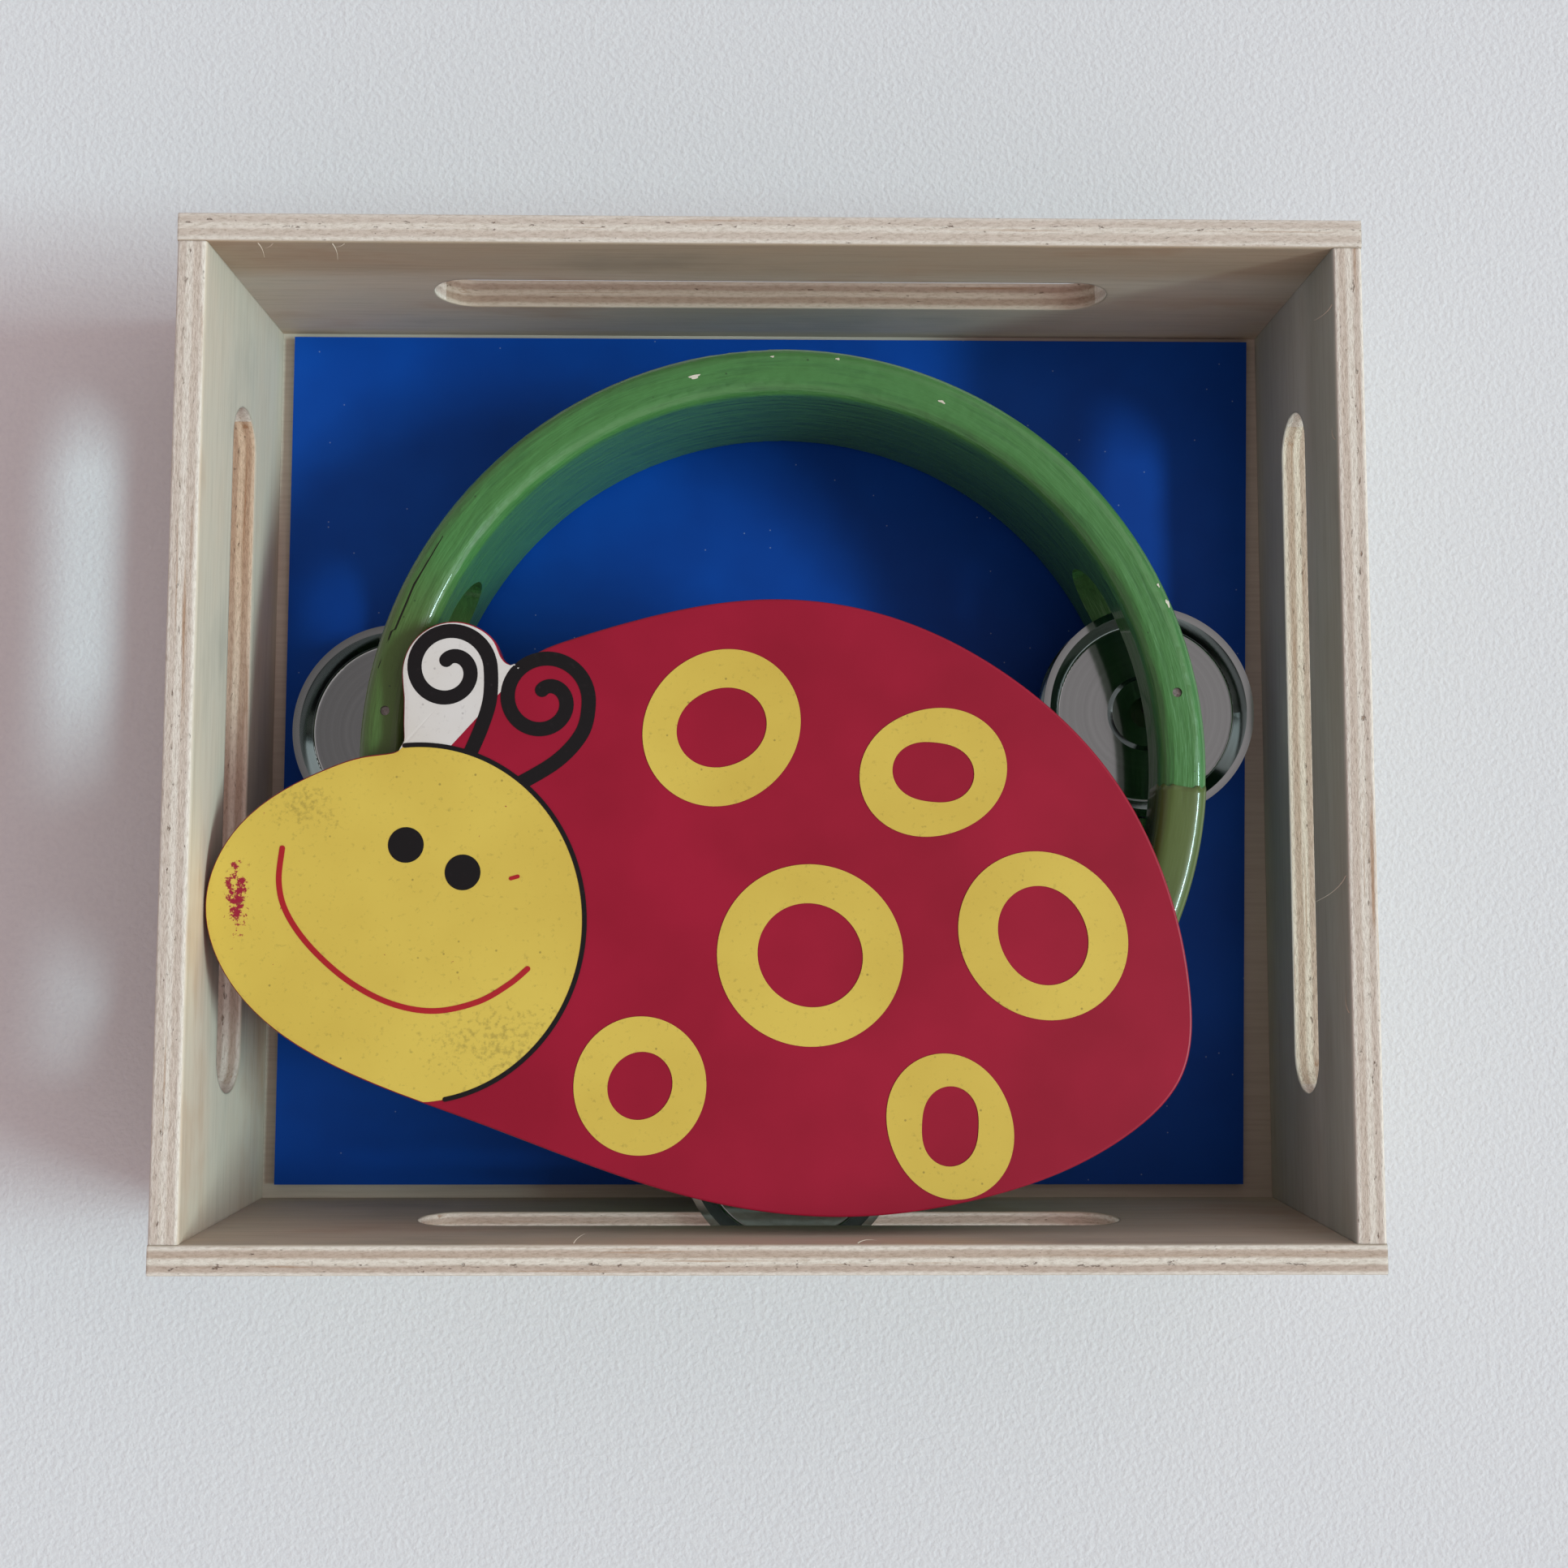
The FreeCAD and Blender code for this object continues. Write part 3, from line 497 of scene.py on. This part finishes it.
def screenInk(name, key):
    colour, scuffColour, speckColour = inks[key]
    material, tree, shader = newMaterial(name, inks)
    place = addNode(tree, "ShaderNodeTexCoord").outputs["Object"]
    cloud = addNode(tree, "ShaderNodeTexNoise", {"Scale": perMetre(inks["cloud"]), "Detail": 4.0},
                    {"Vector": place})
    shade = addNode(tree, "ShaderNodeValToRGB", {"stops": inks["cloudShade"]}, {0: cloud.outputs["Fac"]})
    tinted = addNode(tree, "ShaderNodeMix",
                     {"data_type": "RGBA", "blend_type": "MULTIPLY", 0: 1.0, 6: linear(colour)},
                     {7: shade.outputs[0]})
    scuffs = addNode(tree, "ShaderNodeTexNoise",
                     {"Scale": perMetre(inks["scuffSize"]), "Detail": 5.0, "Roughness": 0.7},
                     {"Vector": place})

    def nearness(spot, spotReach, most):  # rises to the given value in the middle of an oval patch
        away = addNode(tree, "ShaderNodeVectorMath",
                       {"operation": "SUBTRACT", 1: (spot[0] * mm, spot[1] * mm, 0.0)}, {0: place})
        shrink = (perMetre(spotReach[0]), perMetre(spotReach[1]), 0.0)
        scaled = addNode(tree, "ShaderNodeVectorMath", {"operation": "MULTIPLY", 1: shrink},
                         {0: away.outputs[0]})
        far = addNode(tree, "ShaderNodeVectorMath", {"operation": "LENGTH"}, {0: scaled.outputs[0]})
        return addNode(tree, "ShaderNodeMapRange", {"From Min": 1.0, "From Max": 0.2, "To Max": most},
                       {"Value": far.outputs["Value"]})

    # the nose rubs on the wall, so it is scuffed most
    nose = nearness(inks["noseWear"], inks["noseReach"], inks["noseScuff"])
    worn = addNode(tree, "ShaderNodeMath", {"operation": "ADD"},
                   {0: scuffs.outputs["Fac"], 1: nose.outputs[0]})
    bare = addNode(tree, "ShaderNodeMapRange", {"From Min": 0.71, "From Max": 0.75},
                   {"Value": worn.outputs[0]})
    scuffed = addNode(tree, "ShaderNodeMix", {"data_type": "RGBA", 7: linear(scuffColour)},
                      {0: bare.outputs[0], 6: tinted.outputs[2]})
    # grime lies on the ink, thickest in a few patches
    grime = addNode(tree, "ShaderNodeTexNoise",
                    {"Scale": perMetre(inks["grimeSize"]), "Detail": 3.0, "Roughness": 0.65},
                    {"Vector": place})
    for spot, spotReach in inks["grimeSpots"]:
        patch = nearness(spot, spotReach, inks["grimeRise"])
        grime = addNode(tree, "ShaderNodeMath", {"operation": "ADD"},
                        {0: grime.outputs[0], 1: patch.outputs[0]})
    grimy = addNode(tree, "ShaderNodeMapRange",
                    {"From Min": 0.6, "From Max": 0.78, "To Max": inks["grimeMost"]},
                    {"Value": grime.outputs[0]})
    smudged = addNode(tree, "ShaderNodeMix", {"data_type": "RGBA", 7: linear(speckColour)},
                      {0: grimy.outputs[0], 6: scuffed.outputs[2]})
    specks = addNode(tree, "ShaderNodeTexVoronoi", {"Scale": perMetre(inks["speckSpacing"])},
                     {"Vector": place})
    speck = addNode(tree, "ShaderNodeMapRange",
                    {"From Min": 0.075, "From Max": 0.04, "To Max": inks["speckMost"]},
                    {"Value": specks.outputs["Distance"]})
    specked = addNode(tree, "ShaderNodeMix", {"data_type": "RGBA", 7: linear(speckColour)},
                      {0: speck.outputs[0], 6: smudged.outputs[2]})
    tree.links.new(specked.outputs[2], shader.inputs["Base Color"])
    bump = addNode(tree, "ShaderNodeBump", {"Strength": 0.1, "Distance": inks["relief"] * mm},
                   {"Height": scuffs.outputs["Fac"]})
    tree.links.new(bump.outputs[0], shader.inputs["Normal"])
    return material


yellowInk = screenInk("yellowScreenInk", "yellow")
blackInk = screenInk("blackScreenInk", "black")
whiteInk = screenInk("whiteScreenInk", "white")
redInk = screenInk("redScreenInk", "red")
primer = screenInk("barePrimer", "primer")
crackDark = screenInk("openCrack", "crack")

# Wear and make of the hoop: its lapped end, a crack along the top, chips down to the primer
hoopWear = {
    "lapStart": -3.3, "lapEnd": -40.0, "lapThick": 0.22, "lapSkirt": 38.8, "lapRagged": 0.25,
    "crack": [(146.5, 84.7), (154.4, 84.7), (161.2, 84.6), (161.7, 85.2), (167.1, 85.7)], "crackWidth": 0.4,
    "crackTaper": 0.35, "crackLift": 0.03, "chipLift": 0.04, "chipRagged": (0.25, 0.15),
    # degrees round the hoop, radius, length and width
    "chips": [(103.1, 82.9, 2.2, 0.9), (91.7, 85.2, 0.8, 0.4), (82.5, 85.5, 0.9, 0.5), (66.5, 82.5, 1.6, 0.5),
              (22.7, 86.5, 1.8, 0.8), (25.5, 86.2, 0.9, 0.5)],
}


def hoopPoint(degrees, radius, lift):  # place on the hoop's top or on its rounded edges
    rounding = hoopSizes["rounding"]
    beyond = max(radius - (hoopOuter - rounding), hoopInner + rounding - radius, 0.0)
    z = hoopHigh.z - rounding + math.sqrt(max(rounding ** 2 - beyond ** 2, 0.0))
    return (*polar(hoopMiddle, radius, math.radians(degrees)), z + lift)


def lapSection(offset, bends=8):  # outside of the hoop's upper part as (radius, height), lifted by the offset
    rounding = hoopSizes["rounding"]
    shoulder = hoopHigh.z - rounding
    section = [(hoopOuter + offset, hoopWear["lapSkirt"])]
    for middle, start in ((hoopOuter - rounding, 0), (hoopInner + rounding, 90)):
        for step in range(bends + 1):
            bend = math.radians(start + step * 90 / bends)
            section.append(polar((middle, shoulder), rounding + offset, bend))
    return section + [(hoopInner - offset, hoopWear["lapSkirt"])]


def lappedEnd(steps=40):
    points, faces = [], []
    start, end, thick = hoopWear["lapStart"], hoopWear["lapEnd"], hoopWear["lapThick"]
    rows = [(start, 0.0)] + [(start + (end - start) * k / steps, thick) for k in range(steps + 1)]
    for degrees, offset in rows:
        section = lapSection(offset)
        for index, (radius, height) in enumerate(section):
            ragged = hoopWear["lapRagged"] * math.sin(index * 1.9) if degrees == start else 0.0
            points.append((*polar(hoopMiddle, radius, math.radians(degrees + ragged)), height))
    count = len(lapSection(0.0))
    for row in range(len(rows) - 1):
        for index in range(count - 1):
            a, b = row * count + index, (row + 1) * count + index
            faces.append((a, b, b + 1, a + 1))
    addPiece("lappedEnd", points, faces, brushedEnamel("oliveEnamel", lapPaint), "tambourine",
             True)


def hoopCrack():
    points, faces = [], []
    last = len(hoopWear["crack"]) - 1
    for index, (degrees, radius) in enumerate(hoopWear["crack"]):
        taper = hoopWear["crackTaper"] if index in (0, last) else 1.0
        half = hoopWear["crackWidth"] / 2 * taper
        points += [hoopPoint(degrees, radius + side, hoopWear["crackLift"]) for side in (-half, half)]
    for a in range(0, 2 * last, 2):
        faces.append((a, a + 1, a + 3, a + 2))
    addPiece("hoopCrack", points, faces, crackDark, "tambourine")


def paintChip(index, degrees, radius, length, width, count=14):  # ragged flake down to the primer
    outline = []
    coarse, fine = hoopWear["chipRagged"]
    for step in range(count):
        angle = 2 * math.pi * step / count
        rough = 1.0 + coarse * math.sin(3 * angle + index) + fine * math.sin(5 * angle + 2 * index)
        turnBy = math.degrees(length / 2 * rough * math.cos(angle) / radius)
        outline.append(hoopPoint(degrees + turnBy, radius + width / 2 * rough * math.sin(angle),
                                 hoopWear["chipLift"]))
    face = tuple(range(count))
    addPiece("paintChip%d" % index, outline, [face], primer, "tambourine")


lappedEnd()
hoopCrack()
for index, chip in enumerate(hoopWear["chips"]):
    paintChip(index, *chip)
print("hoop worn")

# Print on the plate: each colour is a thin layer of ink lying on the paint
printing = {
    "layer": 0.06, "inset": 0.3, "lip": 0.8, "bend": 0.05,
    "headMiddle": (-71.0, -37.5), "headRadii": (33.6, 35.8), "headLine": 0.95,
    "eyes": [(-73.5, -22.0), (-62.0, -27.5)], "eyeRadius": 3.6,
    "mouth": [(-98.3, -22.7), (-98.8, -29.6), (-97.1, -35.7), (-92.2, -42.5), (-84.4, -49.3), (-75.9, -53.7),
              (-67.2, -55.2), (-58.6, -53.4), (-52.4, -49.9), (-48.7, -46.8)],
    "mouthWidth": 1.15, "nick": [(-52.3, -28.7), (-50.9, -28.3)], "nickWidth": 0.8,
    "groundMiddle": (-66.0, 8.0), "groundFoot": -3.0, "groundSide": [(-65.1, -2.2), (-58.1, 5.6)],
    "headLineFrom": -80.0, "headLineTo": 95.0, "noseSide": -0.35, "rayDepth": 2.0, "rayHeight": 5.0,
}
plateNode = nodes["ladybird_plate"]
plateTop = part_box("ladybird_plate")[1].z / mm


def reach(middle, angle):  # from a point inside the plate to its edge, in millimetres
    origin = Vector((middle[0], middle[1], plateTop - printing["rayDepth"])) * mm
    hit, place = plateNode.ray_cast(origin, Vector((math.cos(angle), math.sin(angle), 0)))[:2]
    return (place - origin).length / mm if hit else 0.0


def plateHeight(x, y):  # the plate's upper side at a place, lower on its rounded edge
    above = Vector((x, y, plateTop + printing["rayHeight"])) * mm
    hit, place = plateNode.ray_cast(above, Vector((0, 0, -1)))[:2]
    return max(place.z / mm, plateTop - printing["bend"]) if hit else plateTop


def inkLayer(name, outline, faces, level, ink):
    lift = level * printing["layer"]
    points = [(x, y, plateHeight(x, y) + lift) for x, y in outline]
    addPiece(name, points, faces, ink, "tambourine")


def blob(name, middle, radiusAt, level, ink, count=160):  # filled shape, with a lip that bends over an edge
    outline = [middle]
    for step in range(count):
        angle = 2 * math.pi * step / count
        for radius in (radiusAt(angle) - printing["lip"], radiusAt(angle)):
            outline.append(polar(middle, radius, angle))
    faces = []
    for step in range(count):
        a, b = 2 * step + 1, 2 * ((step + 1) % count) + 1
        faces += [(0, a, b), (a, a + 1, b + 1, b)]
    inkLayer(name, outline, faces, level, ink)


def ring(name, middle, outerAt, innerAt, level, ink, count=120):  # band round a middle point
    outline, faces = [], []
    for step in range(count):
        angle = 2 * math.pi * step / count
        edge = max(reach(middle, angle) - printing["inset"], 0.0)
        for radius in (min(innerAt(angle), edge), min(outerAt(angle), edge)):
            outline.append(polar(middle, radius, angle))
    for step in range(count):
        a, b = 2 * step, 2 * ((step + 1) % count)
        faces.append((a, a + 1, b + 1, b))
    inkLayer(name, outline, faces, level, ink)


def smoothPath(points, steps=10):  # curve through the given points
    path = []
    for i in range(len(points) - 1):
        p0, p1 = points[max(i - 1, 0)], points[i]
        p2, p3 = points[i + 1], points[min(i + 2, len(points) - 1)]
        for s in range(steps):
            t = s / steps
            path.append(tuple(0.5 * (2 * b + (c - a) * t + (2 * a - 5 * b + 4 * c - d) * t * t
                                     + (3 * b - a - 3 * c + d) * t ** 3)
                              for a, b, c, d in zip(p0, p1, p2, p3)))
    path.append(tuple(points[-1]))
    return path


def stroke(name, path, width, level, ink, bends=8):  # pen line with round ends
    count = len(path)
    left, right = [], []
    half = width / 2
    for i, (x, y) in enumerate(path):
        ahead, behind = path[min(i + 1, count - 1)], path[max(i - 1, 0)]
        dx, dy = ahead[0] - behind[0], ahead[1] - behind[1]
        length = math.hypot(dx, dy) or 1.0
        left.append((x - dy / length * half, y + dx / length * half))
        right.append((x + dy / length * half, y - dx / length * half))
    outline = [point for pair in zip(left, right) for point in pair]
    faces = [(2 * i, 2 * i + 1, 2 * i + 3, 2 * i + 2) for i in range(count - 1)]
    for end, side in ((0, left[0]), (count - 1, right[-1])):
        start = math.atan2(side[1] - path[end][1], side[0] - path[end][0])
        first = len(outline)
        outline += [polar(path[end], half, start + math.pi * k / bends) for k in range(bends + 1)]
        faces.append(tuple(range(first, first + bends + 1)))
    inkLayer(name, outline, faces, level, ink)


headMiddle = printing["headMiddle"]


def headOval(angle):
    a, b = printing["headRadii"]
    return a * b / math.hypot(b * math.cos(angle), a * math.sin(angle))


def headEdge(angle):  # towards the nose the ink runs out to the plate's edge
    edge = reach(headMiddle, angle) - printing["inset"]
    return min(headOval(angle), edge) if math.cos(angle) > printing["noseSide"] else edge


def groundEdge(angle):  # white ground of the first feeler: the lobe, cut off by the head and a slanting side
    middle = Vector(printing["groundMiddle"])
    way = Vector((math.cos(angle), math.sin(angle)))
    foot, end = (Vector(point) for point in printing["groundSide"])
    out = Vector(((end - foot).y, -(end - foot).x))
    edge = reach(middle, angle) - printing["inset"]
    if way.dot(out) > 0.0:
        edge = min(edge, (foot - middle).dot(out) / way.dot(out))
    if way.y < 0.0:
        edge = min(edge, (printing["groundFoot"] - middle.y) / way.y)
    return edge


def headBorder(steps=100):  # the black line where the head meets the wing cases
    path, start, end = [], printing["headLineFrom"], printing["headLineTo"]
    for step in range(steps + 1):
        angle = math.radians(start + (end - start) * step / steps)
        edge = min(headOval(angle), reach(headMiddle, angle) - printing["inset"] - printing["headLine"] / 2)
        path.append(polar(headMiddle, edge, angle))
    return path


blob("feelerGround", printing["groundMiddle"], groundEdge, 1, whiteInk)
blob("headInk", headMiddle, headEdge, 2, yellowInk, 240)
stroke("headLine", headBorder(), printing["headLine"], 3, blackInk)
for index, place in enumerate(printing["eyes"]):
    blob("eye%d" % index, place, lambda angle: printing["eyeRadius"], 3, blackInk, 48)
stroke("mouth", smoothPath(printing["mouth"]), printing["mouthWidth"], 3, redInk)
stroke("nick", printing["nick"], printing["nickWidth"], 3, redInk)


# Feelers: plain curls, each a stem that winds into a coil (middle, outer and inner radius, start, turns)
feelers = {
    "width": 2.9, "level": 1.5, "tighten": 0.44, "leadSteps": 8,
    "curls": [([(-61.4, -4.6), (-58.8, 1.6), (-57.1, 7.4)], ((-65.5, 13.8), 8.55, 1.9, -2, 1.3)),
              ([(-52.0, -10.2), (-43.4, -5.0), (-38.3, 0.8)], ((-46.1, 7.7), 9.15, 1.9, -6, 1.3))],
}


def coil(middle, outer, inner, startDegrees, turns, steps=72):  # tightens as it winds in
    path, tighten = [], feelers["tighten"]
    for step in range(steps + 1):
        share = step / steps
        angle = math.radians(startDegrees) + turns * 2 * math.pi * share
        radius = outer + (inner - outer) * ((1 - tighten) * share + tighten * share ** 3)
        path.append(polar(middle, radius, angle))
    return path


for index, (stem, winding) in enumerate(feelers["curls"]):
    path = coil(*winding)
    lead = smoothPath(stem + [path[0], path[4]], feelers["leadSteps"])  # enters the coil along its own turn
    stroke("feeler%d" % index, lead[:-feelers["leadSteps"] - 1] + path, feelers["width"], feelers["level"],
           blackInk)

# Ring spots on the wing cases: middle, outer and inner radius, each a little out of round
spots = {
    "places": [((-10.0, 2.0), 16.0, 8.6), ((33.0, -7.0), 14.0, 7.2), ((8.0, -44.0), 18.5, 10.5),
               ((55.0, -40.0), 17.0, 9.5), ((36.0, -78.0), 13.5, 6.8), ((-26.0, -70.0), 13.5, 6.6)],
    "wobble": 0.7, "wobbleChange": 0.5, "holeTurn": 0.8, "level": 2,
}
for index, (middle, outer, inner) in enumerate(spots["places"]):
    wobble = spots["wobble"] + spots["wobbleChange"] * math.sin(index * 2.1)
    ring("spot%d" % index, middle,
         lambda a, r=outer, w=wobble, k=index: r + w * math.sin(2 * a + k),
         lambda a, r=inner, w=wobble, k=index + spots["holeTurn"]: r + w * math.sin(2 * a + k),
         spots["level"], yellowInk)
print("print laid on the plate")

# Loose fibres that the saw left along the inner edge of the rim: foot, way and length in millimetres
fibres = {
    "width": 0.2, "curl": 0.5, "taper": 0.8, "droop": 0.06,
    "places": [((-104.0, 99.4, 59.2), (0.6, -0.5, -0.4), 2.6),
               ((-101.0, 99.4, 59.2), (-0.5, -0.5, -0.4), 2.2),
               ((-89.0, 99.4, 59.2), (0.6, -0.6, -0.4), 2.8),
               ((-86.5, 99.4, 59.3), (-0.7, -0.5, -0.3), 2.4),
               ((-38.0, -99.4, 59.3), (0.3, 0.7, -0.2), 2.5),
               ((17.0, -99.4, 59.3), (0.8, 0.5, -0.3), 3.5),
               ((113.9, -28.0, 59.2), (-0.3, -0.9, -0.3), 7.0),
               ((113.9, -55.0, 59.2), (-0.4, 0.8, -0.3), 4.0),
               ((113.9, 60.0, 59.2), (-0.35, 0.7, -0.5), 3.5),
               ((113.9, 88.0, 59.2), (-0.3, -0.8, -0.4), 4.0)],
}


def woodFibre(index, foot, way, length, steps=6):
    foot, way = Vector(foot), Vector(way).normalized()
    aside = way.cross(Vector((0, 0, 1))).normalized()
    points = []
    for step in range(steps + 1):
        share = step / steps
        middle = foot + way * length * share + aside * fibres["curl"] * length * share * share
        half = aside * fibres["width"] / 2 * (1.0 - fibres["taper"] * share)
        drop = Vector((0, 0, -fibres["droop"] * length * share))
        points += [tuple(middle + half + drop), tuple(middle - half + drop)]
    faces = [(2 * i, 2 * i + 1, 2 * i + 3, 2 * i + 2) for i in range(steps)]
    addPiece("fibre%d" % index, points, faces, wallFinish["front_wall"], "tray")


for index, place in enumerate(fibres["places"]):
    woodFibre(index, *place)
print("fibres set")

# Stage: pale rough-cast board, the light of one window from the right, and the room's softer light
stage = {
    "roughness": 0.9, "floorColour": "#DEDFE0", "floorShade": "#DADBDD", "grit": 1.2, "gritRelief": 0.4,
    "floorReach": 12000.0, "floorDrop": 0.2,
    "keyWay": (1.0, -0.15, 0.715), "keySpread": 7.0, "keyStrength": 2.3, "keyColour": "#D8FBFF",
    "keyFan": (-11.0, -5.5, 0.0, 5.5, 11.0),
    "fill": 0.8, "fillColour": "#FFE8EA", "fillWay": (0.9, -0.22, 0.38), "fillLow": 0.48, "fillHigh": 1.68,
    "overhead": 0.45, "overheadRise": (0.75, 0.95), "backdrop": "#DCDDDF", "backdropRise": (0.2, 0.34),
}


def roughcastFloor():
    mesh = bpy.data.meshes.new("floor")
    far, level = stage["floorReach"] * mm, -stage["floorDrop"] * mm
    corners = [(-far, -far, level), (far, -far, level), (far, far, level), (-far, far, level)]
    mesh.from_pydata(corners, [], [(0, 1, 2, 3)])
    floor = bpy.data.objects.new("floor", mesh)
    bpy.context.scene.collection.objects.link(floor)
    material, tree, shader = newMaterial("roughcastBoard", stage)
    place = addNode(tree, "ShaderNodeTexCoord").outputs["Object"]
    grit = addNode(tree, "ShaderNodeTexNoise", {"Scale": perMetre(stage["grit"]), "Detail": 3.0},
                   {"Vector": place})
    tone = addNode(tree, "ShaderNodeValToRGB",
                   {"stops": [(0.3, stage["floorShade"]), (0.6, stage["floorColour"])]},
                   {0: grit.outputs["Fac"]})
    tree.links.new(tone.outputs[0], shader.inputs["Base Color"])
    bump = addNode(tree, "ShaderNodeBump", {"Strength": 0.65, "Distance": stage["gritRelief"] * mm},
                   {"Height": grit.outputs["Fac"]})
    tree.links.new(bump.outputs[0], shader.inputs["Normal"])
    mesh.materials.append(material)


def windowLight():  # a fan of suns, because the window is wider than it is high
    for index, degrees in enumerate(stage["keyFan"]):
        sun = bpy.data.lights.new("windowLight%d" % index, "SUN")
        sun.angle = math.radians(stage["keySpread"])
        sun.energy = stage["keyStrength"] / len(stage["keyFan"])
        sun.color = linear(stage["keyColour"])[:3]
        window = bpy.data.objects.new("windowLight%d" % index, sun)
        way = Matrix.Rotation(math.radians(degrees), 3, "Z") @ Vector(stage["keyWay"])
        window.rotation_euler = way.to_track_quat("Z", "Y").to_euler()
        bpy.context.scene.collection.objects.link(window)


def roomLight():  # brighter on the window's side, darker straight overhead
    world = bpy.data.worlds.new("room")
    bpy.context.scene.world = world
    world.use_nodes = True
    tree = world.node_tree
    way = addNode(tree, "ShaderNodeTexCoord").outputs["Generated"]
    fillWay = tuple(Vector(stage["fillWay"]).normalized())
    towards = addNode(tree, "ShaderNodeVectorMath", {"operation": "DOT_PRODUCT", 1: fillWay}, {0: way})
    side = addNode(tree, "ShaderNodeMapRange",
                   {"From Min": 0.0, "From Max": 1.0, "To Min": stage["fillLow"] * stage["fill"],
                    "To Max": stage["fillHigh"] * stage["fill"]}, {"Value": towards.outputs["Value"]})
    axes = addNode(tree, "ShaderNodeSeparateXYZ", None, {0: way})
    topLow, topHigh = stage["overheadRise"]
    top = addNode(tree, "ShaderNodeMapRange",
                  {"From Min": topLow, "From Max": topHigh, "To Min": 1.0, "To Max": stage["overhead"]},
                  {"Value": axes.outputs[2]})
    strength = addNode(tree, "ShaderNodeMath", {"operation": "MULTIPLY"},
                       {0: side.outputs[0], 1: top.outputs[0]})
    # a plain pale backdrop stands round the table, up to a low height
    low, high = stage["backdropRise"]
    rise = addNode(tree, "ShaderNodeMapRange", {"From Min": low, "From Max": high},
                   {"Value": axes.outputs[2]})
    colour = addNode(tree, "ShaderNodeMix",
                     {"data_type": "RGBA", 6: linear(stage["backdrop"]), 7: linear(stage["fillColour"])},
                     {0: rise.outputs[0]})
    level = addNode(tree, "ShaderNodeMix", {"data_type": "FLOAT", 2: 1.0},
                    {0: rise.outputs[0], 3: strength.outputs[0]})
    background = tree.nodes["Background"]
    tree.links.new(colour.outputs[2], background.inputs["Color"])
    tree.links.new(level.outputs[0], background.inputs["Strength"])


roughcastFloor()
windowLight()
roomLight()

# Camera: looks straight down, a little from the belly side
view = {"place": (-1.55, -36.02, 391.26), "turnDegrees": (4.463, -0.716, 0.112), "lens": 38.62,
        "sensor": 36.0, "nearest": 10.0}
camera = bpy.data.objects.new("camera", bpy.data.cameras.new("camera"))
camera.data.sensor_width = view["sensor"]
camera.data.lens = view["lens"]
camera.data.clip_start = view["nearest"] * mm
turn = Vector([math.radians(v) for v in view["turnDegrees"]])
camera.matrix_world = (Matrix.Translation(Vector(view["place"]) * mm)
                       @ Matrix.Rotation(turn.length, 4, turn.normalized()))
bpy.context.scene.collection.objects.link(camera)
bpy.context.scene.camera = camera
bpy.context.scene.view_settings.view_transform = "Standard"
print("stage set")
